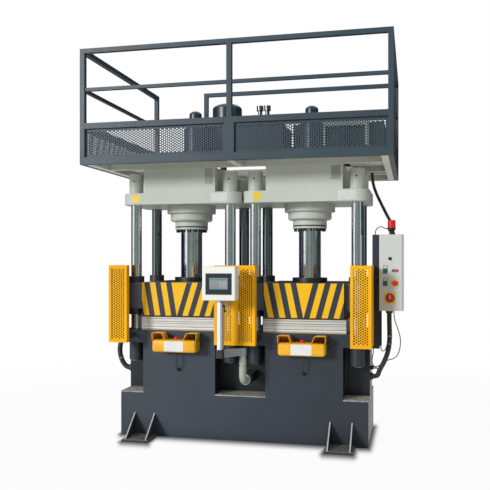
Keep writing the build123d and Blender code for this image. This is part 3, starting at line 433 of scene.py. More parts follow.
def hotPlate():
    # Ground steel plates between insulating sheets, brown above and pale below
    look = hotLook
    paint = Paint("hotPlate")
    z = paint.axes()[2]
    soft = paint.rounding(look["rounding"])
    sheets = (z < look["lowerSheet"]).most(z > look["upperSheet"])
    ground, heat = paint.noise(1, 4, 0.65, (6, 6, 240)), paint.noise(3, 4, 0.6)
    steel = paint.mottle(heat.ramp(0.3, 0.75), (214, 215, 209), (196, 197, 188))
    steel = paint.tint(steel, ground.ramp(0.45, 0.8) * 0.4, (176, 177, 170))
    steel = paint.tint(steel, z < look["brightTo"], (228, 229, 223))
    edges = (paint.edge(soft) + (heat - 0.5) * 0.2).ramp(0.1, 0.2)
    steel = paint.tint(steel, edges * 0.5, (234, 235, 231))
    seams = z.band(1.0104, 1.0147) + z.band(1.0438, 1.0472) + z.band(1.0608, 1.0652) + z.band(1.0858, 1.0902)
    upright = paint.upward().size() < 0.5
    steel = paint.tint(steel, seams.least(1) * upright * 0.85, (62, 62, 60))
    fibre = paint.noise(1, 5, 0.7, (60, 60, 500))
    brown = paint.mottle(fibre, (128, 98, 66), (88, 66, 44))
    pale = paint.mottle(fibre, (202, 182, 162), (176, 156, 136))
    colour = paint.blend(sheets, steel, paint.blend(z < look["between"], brown, pale))
    rough = 0.4 + ground * 0.14 + sheets * 0.35
    normal = paint.bump(ground * 0.5 + fibre * sheets, look["depth"], soft)
    return paint.shade(colour=colour, rough=rough, metal=0.3 - sheets * 0.3, normal=normal)


paints["hotPlate"] = hotPlate()

mouldedLook = {"rounding": 0.0015, "depth": 0.00012, "wear": 0.3}


def moulded(name, look):
    # Moulded plastic: fine grain, slight tone drift, handled edges a little paler and shinier
    look = {**mouldedLook, **look}
    paint = Paint(name)
    soft = paint.rounding(look["rounding"])
    drift, grain = paint.noise(12, 3), paint.noise(900, 2)
    colour = paint.mottle(drift.ramp(0.3, 0.7), look["colour"], look["shade"])
    if "special" in look:
        colour = look["special"](paint, colour)
    handled = (paint.edge(soft) + (drift - 0.5) * 0.2).ramp(0.08, 0.22) * look["wear"]
    colour = paint.tint(colour, handled, look["worn"])
    rough = look["rough"] + (grain - 0.5) * 0.12 - handled * 0.1
    return paint.shade(colour=colour, rough=rough, normal=paint.bump(grain, look["depth"], soft))


hoodShadeLook = {"roof": 0.9675, "sill": 0.9095, "outer": 0.2035, "front": -0.536, "inner": 0.1155, "peak": 0.973,
              "slope": 0.36}


def hoodInsideShade(paint, colour):
    # Painted shade: the inside of each hood is darkened to a dull brown, less so in the left-hand ones, which
    # catch more of the light
    look = hoodShadeLook
    x, y, z = paint.axes()
    out = fromStation(x)
    inner = look["inner"] + (look["peak"] - z) * look["slope"]
    shadedInside = (z < look["roof"]) * (z > look["sill"]) * (out < look["outer"]) * (out > inner) * (y > look["front"])
    leftHand = (x.size() - stations["right"]) * ((x > 0) * 2 - 1) < 0
    return paint.tint(colour, shadedInside * (0.72 - leftHand * 0.57), (110, 64, 30))


switchLook = {"middle": (1.325, 1.300), "ringSquared": 0.00085, "markHalf": 0.0045, "markFoot": -0.004,
              "markSquared": 0.0008}


def switchTone(paint, colour):
    # Dark ring round the pale mark on the main switch's handle; squared radii round its middle
    look = switchLook
    x, _, z = paint.axes()
    across, up = x - look["middle"][0], z - look["middle"][1]
    far = across * across + up * up
    colour = paint.tint(colour, far > look["ringSquared"], (112, 18, 22))
    mark = (across.size() < look["markHalf"]) * (up > look["markFoot"]) * (far < look["markSquared"])
    return paint.tint(colour, mark, (240, 176, 166))


def beaconTone(paint, colour):
    # Dark socket under the red lens
    return paint.blend(paint.axes()[2] > 1.918, linear(32, 34, 38), colour)


plasticLooks = {
    "stationYellow": tones((246, 184, 22), (238, 172, 14), (250, 205, 80), 0.34, special=hoodInsideShade),
    "switchRed": tones((226, 30, 44), (208, 20, 34), (242, 90, 90), 0.28, special=switchTone),
    "palmBlack": tones((28, 29, 32), (40, 41, 44), (84, 84, 88), 0.3),
    "stopRed": tones((236, 30, 52), (220, 20, 40), (242, 90, 90), 0.28),
    "greenLens": tones((26, 128, 84), (16, 104, 70), (90, 180, 140), 0.24),
    "leverBlack": tones((34, 35, 38), (26, 27, 30), (90, 90, 92), 0.45),
    "beaconRed": tones((222, 34, 40), (198, 20, 32), (240, 110, 100), 0.22, special=beaconTone),
    "rubberBlack": tones((30, 31, 34), (42, 43, 46), (70, 70, 74), 0.55, depth=0.0002),
    "bushBlack": tones((36, 38, 44), (50, 53, 60), (110, 112, 118), 0.36),
    "tieGrey": tones((150, 154, 158), (130, 134, 138), (190, 190, 192), 0.4),
}
# Bare plates and cards: thin, with next to no relief
fieldLooks = {
    "paleField": tones((232, 234, 232), (222, 225, 223), (200, 202, 200), 0.4),
    "crownField": tones((212, 218, 214), (202, 209, 205), (190, 192, 190), 0.4),
    "greyField": tones((168, 174, 166), (150, 156, 148), (196, 200, 194), 0.3),
    "yellowField": tones((236, 204, 30), (226, 190, 20), (240, 220, 110), 0.4),
    "holderField": tones((112, 128, 142), (98, 114, 128), (150, 160, 168), 0.4),
}
for name, look in plasticLooks.items():
    paints[name] = moulded(name, look)
for name, look in fieldLooks.items():
    paints[name] = moulded(name, {**look, "rounding": 0.0004, "depth": 0.00003})

profileLook = {"tubeFoot": 0.8695, "shadedFrom": -0.066, "tubeGroove": (-0.069, -0.066, 0.0003),
               "castingX": (-0.107, -0.043, 0.0003), "castingY": (-0.839, -0.741, 0.0003)}


def anodised():
    # Drawn aluminium profile with dark groove lines of painted shade along the arm, painted shade on the arm under
    # the guard, and its black corner casting
    look = profileLook
    paint = Paint("anodised")
    x, y, z = paint.axes()
    soft = paint.rounding(0.002)
    drawn, drift = paint.noise(1, 4, 0.6, (420, 420, 3)), paint.noise(5, 3)
    colour = paint.mottle(drawn.ramp(0.3, 0.75), (240, 242, 243), (222, 225, 227))
    colour = paint.tint(colour, paint.edge(soft).ramp(0.08, 0.2) * 0.4, (248, 249, 250))
    casting = (z < look["tubeFoot"]) * x.band(*look["castingX"]) * y.band(*look["castingY"])
    # Painted shade: the tube's right side turns grey past a dark groove line
    tube = z > look["tubeFoot"]
    colour = paint.tint(colour, tube * (x > look["shadedFrom"]), (182, 186, 188))
    colour = paint.tint(colour, tube * x.band(*look["tubeGroove"]), (96, 100, 104))
    # Painted shade: the arm below the tube is greyed where it lies in the guard's shadow
    colour = paint.tint(colour, 1 - tube, (146, 151, 156))
    # Painted shade of the grooves in the profile
    grooveShade = z.band(0.8225, 0.8255) + z.band(0.8425, 0.8455)
    colour = paint.tint(colour, grooveShade * 0.8, (70, 74, 78))
    colour = paint.tint(colour, casting, (26, 27, 30))
    normal = paint.bump(drawn, 0.00005, soft)
    return paint.shade(colour=colour, rough=0.34 + drift * 0.14, metal=0.3 - casting * 0.3, normal=normal)


# Each block on the screen: its height range, its width range, its share and its tone
screenLook = {
    "wide": (-0.154, 0.007), "high": (1.384, 1.481), "soft": 0.0005,
    "blocks": (((1.392, 1.404), (-0.146, -0.082), 0.5, (178, 150, 158)),
               ((1.412, 1.424), (-0.146, -0.082), 0.5, (178, 150, 158)),
               ((1.432, 1.444), (-0.146, -0.082), 0.5, (178, 150, 158)),
               ((1.462, 1.474), (-0.146, -0.001), 0.6, (92, 118, 122)),
               ((1.392, 1.452), (-0.070, -0.001), 0.4, (196, 176, 180))),
}


def displayFinish():
    # Dark front plate round a lit screen with plain blocks and bars
    look = screenLook
    paint = Paint("displayFinish")
    x, _, z = paint.axes()
    screen = x.band(*look["wide"], look["soft"]) * z.band(*look["high"], look["soft"])
    grain = paint.noise(700, 2)
    field = paint.mottle(z.ramp(*look["high"]), (118, 144, 138), (138, 162, 156))
    for spanZ, spanX, share, tone in look["blocks"]:
        field = paint.tint(field, z.band(*spanZ) * x.band(*spanX) * share, tone)
    colour = paint.blend(screen, paint.mottle(grain, (20, 30, 44), (27, 38, 54)), field)
    rough = 0.4 - screen * 0.22 + (grain - 0.5) * 0.1
    normal = paint.bump(grain, 0.00006, paint.rounding(0.0015))
    return paint.shade(colour=colour, rough=rough, normal=normal, gloss=0.3)


bezelLook = {"leftOf": 1.312, "lightsOver": 1.49, "keyOver": 1.61, "switchUnder": 1.37,
             "cards": ((1.449, 1.472), (1.559, 1.582))}


def bezelTones():
    # Dark and grey label holders, yellow ring and plate, black key ring, told apart by place
    look = bezelLook
    paint = Paint("bezelTones")
    x, _, z = paint.axes()
    grain = paint.noise(600, 2)
    yellow = paint.mottle(grain, (246, 200, 20), (236, 186, 14))
    grey = (196, 200, 200)
    left = x < look["leftOf"]
    colour = paint.blend(left, yellow, paint.mottle(grain, (48, 54, 62), (60, 66, 74)))
    for card in look["cards"]:
        colour = paint.tint(colour, left * z.band(*card), grey)
    colour = paint.tint(colour, (1 - left) * (z > look["lightsOver"]), grey)
    colour = paint.tint(colour, z > look["keyOver"], (40, 42, 46))
    colour = paint.blend(z < look["switchUnder"], colour, yellow)
    normal = paint.bump(grain, 0.0001, paint.rounding(0.001))
    return paint.shade(colour=colour, rough=0.4 + (grain - 0.5) * 0.1, normal=normal)


paints["anodised"] = anodised()
paints["displayFinish"] = displayFinish()
paints["bezelTones"] = bezelTones()
print("finishes made:", len(paints))

dressing = {
    "basePaint": ["base_frame", "table_plate"],
    "footPaint": ["anchor_feet"],
    "columnSteel": ["columns"],
    "nutPaint": ["column_nuts"],
    "crownPaint": ["crowns", "cylinders"],
    "glandPaint": ["cylinder_glands"],
    "hotPlate": ["lower_hot_platens", "left_upper_hot_platen", "right_upper_hot_platen"],
    "ramFinish": ["left_ram", "right_ram"],
    "platenPaint": ["left_moving_platen", "right_moving_platen"],
    "bushBlack": ["left_bushes", "right_bushes"],
    "guardPaint": ["side_guards", "centre_guard"],
    "bracketPaint": ["guard_brackets"],
    "stationYellow": ["hand_stations"],
    "palmBlack": ["left_station_left_palm", "left_station_right_palm", "right_station_left_palm",
                  "right_station_right_palm", "key_switch"],
    "stopRed": ["left_station_stop", "right_station_stop", "off_button", "box_stop_button"],
    "switchRed": ["main_switch"],
    "greenLens": ["upper_green_button", "lower_green_button", "start_button"],
    "armPaint": ["swivel_elbow", "swivel_head"],
    "anodised": ["panel_arm", "panel_tube"],
    "creamPaint": ["panel_housing"],
    "displayFinish": ["panel_display"],
    "leverBlack": ["clamp_lever"],
    "postPaint": ["box_post"],
    "boxPaint": ["control_box"],
    "bezelTones": ["control_bezels"],
    "beaconRed": ["beacon"],
    "rubberBlack": ["station_cables", "box_conduit", "crown_hose", "left_conduit", "thin_cables", "cable_glands"],
    "railPaint": ["platform_frame", "infill_sheets", "railings"],
    "deckPaint": ["platform_deck", "pipework"],
    "tankPaint": ["oil_tank", "pump_motor", "prefill_tanks"],
    "valveSteel": ["valve_stack"],
}
for name, members in dressing.items():
    for member in members:
        for slot in nodes[member].material_slots:
            slot.material = paints[name]
undressed = sorted(set(nodes) - {m for members in dressing.values() for m in members})
print("nodes without a finish:", undressed)

# Each route: its node, radius, length, the places of its ties if it is ribbed, and its centre line
# from its gland to where it goes back in
stationDrop = [(-0.475, 0.797), (-0.475, 0.755), (-0.472, 0.713), (-0.465, 0.675), (-0.448, 0.644),
               (-0.440, 0.628), (-0.426, 0.628)]
cableRoutes = {side + "StationCable": ("station_cables", 0.005, 0.188, (), [(middle, *p) for p in stationDrop])
               for side, middle in stations.items()}
cableRoutes |= {
    "boxConduit": ("box_conduit", 0.022, 0.648, (0.20, 0.27), [
        (1.316, -0.210, 1.161), (1.316, -0.210, 1.060), (1.321, -0.210, 0.940), (1.309, -0.202, 0.828),
        (1.270, -0.180, 0.722), (1.224, -0.148, 0.640), (1.211, -0.115, 0.583), (1.171, -0.115, 0.583)]),
    "crownHose": ("crown_hose", 0.014, 0.940, (), [
        (1.132, 0.420, 2.537), (1.132, 0.420, 2.450), (1.146, 0.352, 2.360), (1.184, 0.210, 2.256),
        (1.236, 0.064, 2.150), (1.286, -0.056, 2.046), (1.334, -0.138, 1.962), (1.342, -0.154, 1.916),
        (1.342, -0.154, 1.882)]),
    "leftConduit": ("left_conduit", 0.025, 0.433, (0.135,), [
        (-1.171, -0.125, 0.588), (-1.201, -0.125, 0.588), (-1.247, -0.125, 0.640), (-1.273, -0.125, 0.718),
        (-1.273, -0.125, 0.7955), (-1.247, -0.125, 0.8715), (-1.201, -0.125, 0.9235), (-1.171, -0.125, 0.9235)]),
    "beaconCable": ("thin_cables", 0.004, 0.166, (), [
        (1.192, -0.180, 1.858), (1.192, -0.180, 1.892), (1.214, -0.188, 1.922), (1.250, -0.200, 1.932),
        (1.277, -0.210, 1.911), (1.301, -0.210, 1.911)]),
    "loopCable": ("thin_cables", 0.004, 0.726, (), [
        (1.356, -0.210, 1.187), (1.356, -0.210, 1.120), (1.382, -0.210, 1.045), (1.410, -0.210, 0.965),
        (1.414, -0.208, 0.882), (1.396, -0.200, 0.802), (1.358, -0.180, 0.756), (1.312, -0.150, 0.742),
        (1.268, -0.112, 0.716), (1.230, -0.064, 0.680), (1.200, -0.028, 0.656), (1.171, -0.028, 0.656)]),
    "postCable": ("thin_cables", 0.004, 0.299, (), [
        (1.176, -0.190, 0.845), (1.176, -0.190, 0.806), (1.166, -0.178, 0.764), (1.161, -0.160, 0.720),
        (1.172, -0.138, 0.682), (1.198, -0.110, 0.658), (1.212, -0.084, 0.650), (1.196, -0.062, 0.648),
        (1.171, -0.062, 0.648)]),
    "trunkingCable": ("thin_cables", 0.004, 0.445, (), [
        (1.241, -0.200, 0.872), (1.241, -0.200, 0.844), (1.256, -0.191, 0.819), (1.279, -0.178, 0.826),
        (1.293, -0.167, 0.866), (1.301, -0.173, 0.930), (1.299, -0.170, 1.010), (1.299, -0.170, 1.187)]),
}
hoseLook = {"ribStep": 0.0015, "ribPitch": 0.0075, "ribDepth": 0.0011, "sides": 20, "pathEvery": 4,
            "stiffOver": 0.01, "tieSides": 24, "tieWide": 0.012, "tieProud": 0.0016, "tieChamfer": 0.0015}


def routeCurve(name, points, radius):
    # One smooth spline with the route's points as its control points
    curve = bpy.data.curves.new(name, "CURVE")
    curve.dimensions = "3D"
    spline = curve.splines.new("NURBS")
    spline.points.add(len(points) - 1)
    spline.points.foreach_set("co", np.array([(*p, 1) for p in points], np.float32).ravel())
    spline.order_u = 3
    spline.use_endpoint_u = True
    spline.resolution_u = 14
    curve.bevel_depth = radius
    curve.bevel_resolution = 5
    curve.use_fill_caps = True
    return curve


def centreLine(curve):
    # The spline's own points, read from it while it has no bevel
    holder = bpy.data.objects.new("centreLine", curve)
    scene.collection.objects.link(holder)
    bpy.context.view_layer.update()
    mesh = bpy.data.meshes.new_from_object(holder.evaluated_get(bpy.context.evaluated_depsgraph_get()))
    line = np.empty(len(mesh.vertices) * 3)
    mesh.vertices.foreach_get("co", line)
    bpy.data.objects.remove(holder)
    bpy.data.meshes.remove(mesh)
    return line.reshape(-1, 3)


def evenSteps(line, step):
    # The same line at equal steps of length, and the length run at each
    run = np.concatenate(([0], np.cumsum(np.linalg.norm(np.diff(line, axis=0), axis=1))))
    wanted = np.linspace(0, run[-1], max(2, int(round(run[-1] / step)) + 1))
    return np.stack([np.interp(wanted, run, line[:, i]) for i in range(3)], 1), wanted


def carried(line, radii, sides):
    # A circle of each radius carried along the line, square to it, its start set by one slanting direction
    ahead = np.gradient(line, axis=0)
    ahead /= np.linalg.norm(ahead, axis=1)[:, None]
    across = np.cross(ahead, (0.31, 0.83, 0.12))
    across /= np.linalg.norm(across, axis=1)[:, None]
    other = np.cross(ahead, across)
    turn = np.linspace(0, 2 * np.pi, sides, endpoint=False)
    ring = across[:, None] * np.cos(turn)[None, :, None] + other[:, None] * np.sin(turn)[None, :, None]
    return line[:, None] + ring * np.asarray(radii)[:, None, None]


def tubePiece(name, line, radii, sides, paint, replaces=()):
    faces = cappedRings(len(line), sides)
    return makePiece(name, carried(line, radii, sides), faces, "frame", paint, True, replaces)


def tieRound(name, line, run, at, radius):
    # A cable tie: a flat band carried a short way along the cable
    half = hoseLook["tieWide"] / 2
    part = line[(run > at - half) & (run < at + half)]
    shape = np.full(len(part), radius)
    shape[[0, -1]] = radius - hoseLook["tieChamfer"]
    return tubePiece(name, part, shape, hoseLook["tieSides"], paints["tieGrey"])


for name, (node, radius, length, ties, points) in cableRoutes.items():
    curve = routeCurve(name, points, 0 if ties else radius)
    facts = {"exit": points[0], "length": length, "diameter": radius * 2, "far_end": "object",
             "stiffness": "stiff" if radius > hoseLook["stiffOver"] else "medium", "lay": "hanging"}
    if ties:
        # Ribbed hose: the radius rises and falls with the length run
        line, run = evenSteps(centreLine(curve), hoseLook["ribStep"])
        depth = hoseLook["ribDepth"]
        radii = radius - depth + depth * np.cos(run * 2 * np.pi / hoseLook["ribPitch"])
        piece = tubePiece(name, line, radii, hoseLook["sides"], paints["rubberBlack"], [node])
        rounds = [tieRound("%sTie%d" % (name, number), line, run, at, radius + hoseLook["tieProud"])
                  for number, at in enumerate(ties)]
        path = line[::hoseLook["pathEvery"]].tolist() + [line[-1].tolist()]
    else:
        piece = bpy.data.objects.new(name, curve)
        scene.collection.objects.link(piece)
        curve.materials.append(paints["rubberBlack"])
        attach(piece, "frame")
        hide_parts(node)
print("cables laid:", len(cableRoutes))


def foldedPath(start, heading, legs, bend):
    # A folded sheet seen from above, as its length run, points and headings; each leg is (length, turn)
    points, headings = [np.array(start, float)], [heading]
    angle = heading
    at = np.array(start, float)
    for i, (length, turn) in enumerate(legs):
        before = bend if i else 0
        after = bend if turn else 0
        at = at + (length - before - after) * np.array((math.cos(angle), math.sin(angle)))
        points.append(at.copy())
        headings.append(angle)
        if turn:
            inward = bend * math.copysign(1, turn)
            centre = at + inward * np.array((-math.sin(angle), math.cos(angle)))
            for step in np.linspace(0, turn, 9)[1:]:
                a = angle + step
                points.append(centre - inward * np.array((-math.sin(a), math.cos(a))))
                headings.append(a)
            at = points[-1].copy()
            angle += turn
    points = np.array(points)
    run = np.concatenate(([0], np.cumsum(np.linalg.norm(np.diff(points, axis=0), axis=1))))
    return run, points, np.array(headings)


sheetLook = {"sides": 12, "radius": 0.0068, "thickness": 0.002, "slant": 0.002, "touching": 1e-7}


def perforatedSheet(look, fields, path, heightRange):
    # Each field is a grid of cells, a ring of quads round each hole, its columns staggered by half a pitch. It is
    # set back from the plain strips round it. Points are (run, height, set back) until they are folded at the end.
    run, line, headings = path
    low, high = heightRange
    sides, margin, recess, slant = look["sides"], look["margin"], look["recess"], look["slant"]
    pitchU, pitchV = look["pitch"]
    parts, faces, inner = [], [], []
    count = 0

    def add(points, quads, onHole):
        nonlocal count
        parts.append(points)
        faces.append(quads + count)
        inner.append(onHole)
        count += len(points)

    def quad(*corners):
        add(np.array(corners, float), np.array([[0, 1, 2, 3]]), np.zeros(4, bool))

    def strip(ua, ub, va, vb, back=0.0):
        quad((ua, va, back), (ub, va, back), (ub, vb, back), (ua, vb, back))

    quarter = sides // 4
    t = np.linspace(-0.5, 0.5, quarter, endpoint=False)
    plus, minus = np.full(quarter, 0.5), np.full(quarter, -0.5)
    border = np.concatenate([np.stack(pair, 1) for pair in ((plus, t), (-t, plus), (minus, -t), (t, minus))])
    turn = np.linspace(0, 2 * np.pi, sides, endpoint=False) - np.pi / 4
    one = np.arange(sides)
    two = (one + 1) % sides
    ringFaces = np.stack((one, two, two + sides, one + sides), 1)[:, ::-1]
    rim = np.stack((np.cos(turn), np.sin(turn)), 1) * look["radius"]
    # Cuts at every point of the fold, and at the ends of each field
    cuts = {u for u in run.tolist() if not any(a < u < b for a, b in fields)}
    edges = sorted(cuts | {u for field in fields for u in field})
    bottom, top = low + margin, high - margin
    for ua, ub in zip(edges[:-1], edges[1:]):
        if (ua, ub) not in fields:
            strip(ua, ub, low, high)
            continue
        strip(ua, ub, low, bottom)
        strip(ua, ub, top, high)
        a, b, c, d = ua + slant, ub - slant, bottom + slant, top - slant
        quad((ua, bottom, 0), (ub, bottom, 0), (b, c, recess), (a, c, recess))
        quad((b, c, recess), (ub, bottom, 0), (ub, top, 0), (b, d, recess))
        quad((a, d, recess), (b, d, recess), (ub, top, 0), (ua, top, 0))
        quad((ua, bottom, 0), (a, c, recess), (a, d, recess), (ua, top, 0))
        columns = int(round((b - a) / pitchU))
        wide = (b - a) / columns
        rows = int((d - c) / pitchV)
        first = c + (d - c - rows * pitchV) / 2
        cell = np.concatenate((border * (wide, pitchV), rim))
        cell = np.column_stack((cell, np.full(2 * sides, recess)))
        for k in range(columns):
            left, odd = a + k * wide, k % 2
            start, number = first + odd * pitchV / 2, rows - odd
            strip(left, left + wide, c, start, recess)
            strip(left, left + wide, start + number * pitchV, d, recess)
            middles = np.zeros((number, 3))
            middles[:, 0] = left + wide / 2
            middles[:, 1] = start + (np.arange(number) + 0.5) * pitchV
            rings = ringFaces[None] + (np.arange(number) * 2 * sides)[:, None, None]
            add((middles[:, None] + cell[None]).reshape(-1, 3), rings.reshape(-1, 4),
                np.tile(np.arange(2 * sides) >= sides, number))
    flat, quads, onHole = np.concatenate(parts), np.concatenate(faces), np.concatenate(inner)
    total = len(flat)
    # Walls round the sheet and inside each hole join its two faces
    pairs = np.concatenate([quads[:, [i, (i + 1) % 4]] for i in range(4)])
    ends = flat[pairs]
    outside = onHole[pairs].all(1)
    for axis, value in ((0, run[0]), (0, run[-1]), (1, low), (1, high)):
        outside |= (np.abs(ends[:, :, axis] - value) < look["touching"]).all(1)
    walls = pairs[outside]
    wallQuads = np.stack((walls[:, 1], walls[:, 0], walls[:, 0] + total, walls[:, 1] + total), 1)
    allFaces = np.concatenate((quads, quads[:, ::-1] + total, wallQuads))
    both = np.concatenate((flat, flat))
    level = np.repeat((look["thickness"] / 2, -look["thickness"] / 2), total) - both[:, 2]
    centre = np.stack([np.interp(both[:, 0], run, line[:, i]) for i in range(2)], 1)
    angle = np.interp(both[:, 0], run, headings)
    out = np.stack((np.sin(angle), -np.cos(angle)), 1)
    return np.column_stack((centre + out * level[:, None], both[:, 1])), allFaces


guardLook = {**sheetLook, "pitch": (0.0186, 0.0214), "margin": 0.024, "recess": 0.007}
guardPlace = {"height": (0.884, 1.585), "front": -0.603, "rim": -0.546, "farRim": -0.223, "side": (1.004, 1.183),
              "centreHalf": 0.186, "bend": 0.0032, "inset": 0.0235,
              "centreFields": ((-0.160, -0.028), (0.030, 0.162))}
half, bend, rim = guardLook["thickness"] / 2, guardPlace["bend"], guardPlace["rim"]
front = guardPlace["front"] + half


def guardSheet(left, right, farEnd, fields):
    # From the rim forward along the left side, across the front, and back along the right side
    legs = [(rim - front, math.pi / 2), (right - left, math.pi / 2), (farEnd - front, 0)]
    path = foldedPath((left, rim), -math.pi / 2, legs, bend)
    return perforatedSheet(guardLook, fields, path, guardPlace["height"])


left, right = guardPlace["side"][0] + half, guardPlace["side"][1] - half
startOfFront = (rim - front) - bend + bend * math.pi / 2
widthOfFront = right - left - 2 * bend
inset = guardPlace["inset"] - bend
sideFields = [(startOfFront + inset, startOfFront + widthOfFront - inset)]
sidePoints, sideFaces = guardSheet(left, right, guardPlace["farRim"], sideFields)
left, right = half - guardPlace["centreHalf"], guardPlace["centreHalf"] - half
zero = startOfFront - bend - left
centreFields = [(zero + a, zero + b) for a, b in guardPlace["centreFields"]]
centrePoints, centreFaces = guardSheet(left, right, rim, centreFields)
guards = {
    "rightGuardSheet": (sidePoints, sideFaces, "side_guards"),
    "leftGuardSheet": (sidePoints * (-1, 1, 1), sideFaces[:, ::-1], "side_guards"),
    "centreGuardSheet": (centrePoints, centreFaces, "centre_guard"),
}
for name, (points, faces, node) in guards.items():
    makePiece(name, points, faces, "frame", paints["guardPaint"], False, [node])

infillLook = {**sheetLook, "pitch": (0.0190, 0.0218), "margin": 0.012, "recess": 0.0}
infillPlace = {"height": (2.545, 2.797), "inset": 0.014, "bend": 0.003}
infillRuns = {
    "frontLeftInfill": ((-1.325, -0.7795), 0, 1.280),
    "frontRightInfill": ((0.045, -0.7795), 0, 1.280),
    "leftInfill": ((-1.3475, 1.095), -math.pi / 2, 1.852),
    "rightInfill": ((1.3475, -0.757), math.pi / 2, 1.852),
}
for name, (start, heading, length) in infillRuns.items():
    path = foldedPath(start, heading, [(length, 0)], infillPlace["bend"])
    fields = [(infillPlace["inset"], length - infillPlace["inset"])]
    points, faces = perforatedSheet(infillLook, fields, path, infillPlace["height"])
    makePiece(name, points, faces, "frame", paints["railPaint"], False, ["infill_sheets"])
print("perforated sheets folded")

around = 24
barLook = {"centre": (-0.475, 0.854), "half": (0.208, 0.075, 0.057), "radius": 0.026, "steps": 8, "drawn": 0.97}
# Corners run from the outer foot over the roof to the inner foot, out from the station's middle and up;
# each step back from the front edge is a place in Y and how far the hood flares there
hoodLook = {"corners": ((0.205, 0.904), (0.211, 0.973), (0.113, 0.973), (0.088, 0.904)), "bend": 0.017,
            "centre": (0.150, 0.904), "wall": 0.005,
            "steps": ((-0.541, 1.035), (-0.532, 1.025), (-0.512, 1.008), (-0.480, 1.0), (-0.403, 1.0))}
plateLook = {"corner": 0.003, "thickness": 0.0018, "chamfer": 0.4}


def quarterTurns(halfU, halfV, radius):
    # A rounded rectangle, anticlockwise from its right side: four corner arcs of the radius
    turn = np.linspace(0, np.pi / 2, around // 4)
    arcs = []
    for q, (u, v) in enumerate(((1, 1), (-1, 1), (-1, -1), (1, -1))):
        a = turn + q * np.pi / 2
        middle = (u * (halfU - radius), v * (halfV - radius))
        arcs.append(np.stack((middle[0] + radius * np.cos(a), middle[1] + radius * np.sin(a)), 1))
    return np.concatenate(arcs)


def roundedBar(name, middle):
    # A bar along X: its section is a rounded rectangle that draws in over the last radius at both ends
    half, radius = barLook["half"], barLook["radius"]
    turn = np.linspace(0, np.pi / 2 * barLook["drawn"], barLook["steps"])
    along = half[0] - radius + radius * np.sin(turn)
    drawn = radius * (1 - np.cos(turn))
    xs, drawn = np.concatenate((-along[::-1], along)), np.concatenate((drawn[::-1], drawn))
    rows = [np.column_stack((np.full(around, x), quarterTurns(half[1] - d, half[2] - d, radius - d)))
            for x, d in zip(xs, drawn)]
    points = np.concatenate(rows) + (middle, *barLook["centre"])
    return makePiece(name, points, cappedRings(len(rows), around), "frame", paints["stationYellow"],
                     True, ["hand_stations"])


def hoodPiece(name, middle, way):
    # A thin hood over a palm button, open in front; each bend is a curve (1-t)^2 a + 2t(1-t) p + t^2 b
    corners = np.array(hoodLook["corners"])
    t = np.linspace(0, 1, 7)[:, None]
    outline = [corners[:1]]
    for i in (1, 2):
        before, after = corners[i - 1] - corners[i], corners[i + 1] - corners[i]
        a = corners[i] + before / np.linalg.norm(before) * hoodLook["bend"]
        b = corners[i] + after / np.linalg.norm(after) * hoodLook["bend"]
        outline.append((1 - t) ** 2 * a + 2 * t * (1 - t) * corners[i] + t ** 2 * b)
    outline = np.concatenate([*outline, corners[3:]])
    centre = np.array(hoodLook["centre"])
    rows = []
    for y, flare in hoodLook["steps"]:
        shape = centre + (outline - centre) * flare
        rows.append(np.column_stack((middle + way * shape[:, 0], np.full(len(shape), y), shape[:, 1])))
    wide = len(outline)
    faces = gridFaces(len(rows), wide).tolist() + [[(len(rows) - 1) * wide + i for i in range(wide)]]
    if way > 0:
        faces = [f[::-1] for f in faces]
    hood = makePiece(name, np.concatenate(rows), faces, "frame", paints["stationYellow"], True,
                     ["hand_stations"])
    shell = hood.modifiers.new("wall", "SOLIDIFY")
    shell.thickness, shell.offset = hoodLook["wall"], -1


def plainPlate(name, spanX, spanZ, front, paint):
    # A flat plate facing the operator, its front edge chamfered
    corner, thickness = plateLook["corner"], plateLook["thickness"]
    chamfer = thickness * plateLook["chamfer"]
    u, v = (spanX[1] - spanX[0]) / 2, (spanZ[1] - spanZ[0]) / 2
    rows = []
    for inset, y in ((0, front + thickness), (0, front + chamfer), (chamfer, front)):
        ring = quarterTurns(u - inset, v - inset, corner - inset) + (sum(spanX) / 2, sum(spanZ) / 2)
        rows.append(np.column_stack((ring[:, 0], np.full(around, y), ring[:, 1])))
    makePiece(name, np.concatenate(rows), cappedRings(len(rows), around), "frame", paint)


for side, middle in stations.items():
    roundedBar(side + "StationBody", middle)
    for hand, way in (("Left", -1), ("Right", 1)):
        hoodPiece(side + "Station" + hand + "Hood", middle, way)

# Bare plates, and a holder behind each green button: width range, height range, front and field
plates = {
    "leftStationPlate": ((-0.670, -0.488), (0.8085, 0.9005), -0.5506, "paleField"),
    "rightStationPlate": ((0.488, 0.670), (0.8085, 0.9005), -0.5506, "paleField"),
    "leftCrownPlate": ((-1.036, -0.963), (2.170, 2.240), -0.3890, "yellowField"),
    "rightCrownPlate": ((0.121, 0.192), (2.172, 2.242), -0.3890, "yellowField"),
    "leftCrownLabel": ((-0.277, -0.122), (2.168, 2.243), -0.3888, "crownField"),
    "rightCrownLabel": ((0.880, 1.036), (2.162, 2.244), -0.3888, "crownField"),
    "leftCrownCard": ((-0.332, -0.258), (2.328, 2.472), -0.3892, "greyField"),
    "rightCrownCard": ((0.820, 0.904), (2.340, 2.468), -0.3892, "greyField"),
    "upperHolder": ((1.2635, 1.3045), (1.512, 1.586), -0.3016, "holderField"),
    "upperHolderCard": ((1.2685, 1.2995), (1.557, 1.581), -0.3024, "paleField"),
    "lowerHolder": ((1.2635, 1.3045), (1.402, 1.476), -0.3016, "holderField"),
    "lowerHolderCard": ((1.2685, 1.2995), (1.447, 1.471), -0.3024, "paleField"),
}
for name, (spanX, spanZ, plateFront, field) in plates.items():
    plainPlate(name, spanX, spanZ, plateFront, paints[field])
print("stations and plates made")

stageLook = {"floor": 26, "fill": 0.44, "key": 2.15, "keySoft": 14, "keyTurn": (75, 0, -34), "floorGlow": 0.95,
             "shadowSides": 0.075, "shadowFront": 0.28, "shadowKept": 0.86, "paintedShadowDim": 0.9, "eyeToFeet": 6.1}
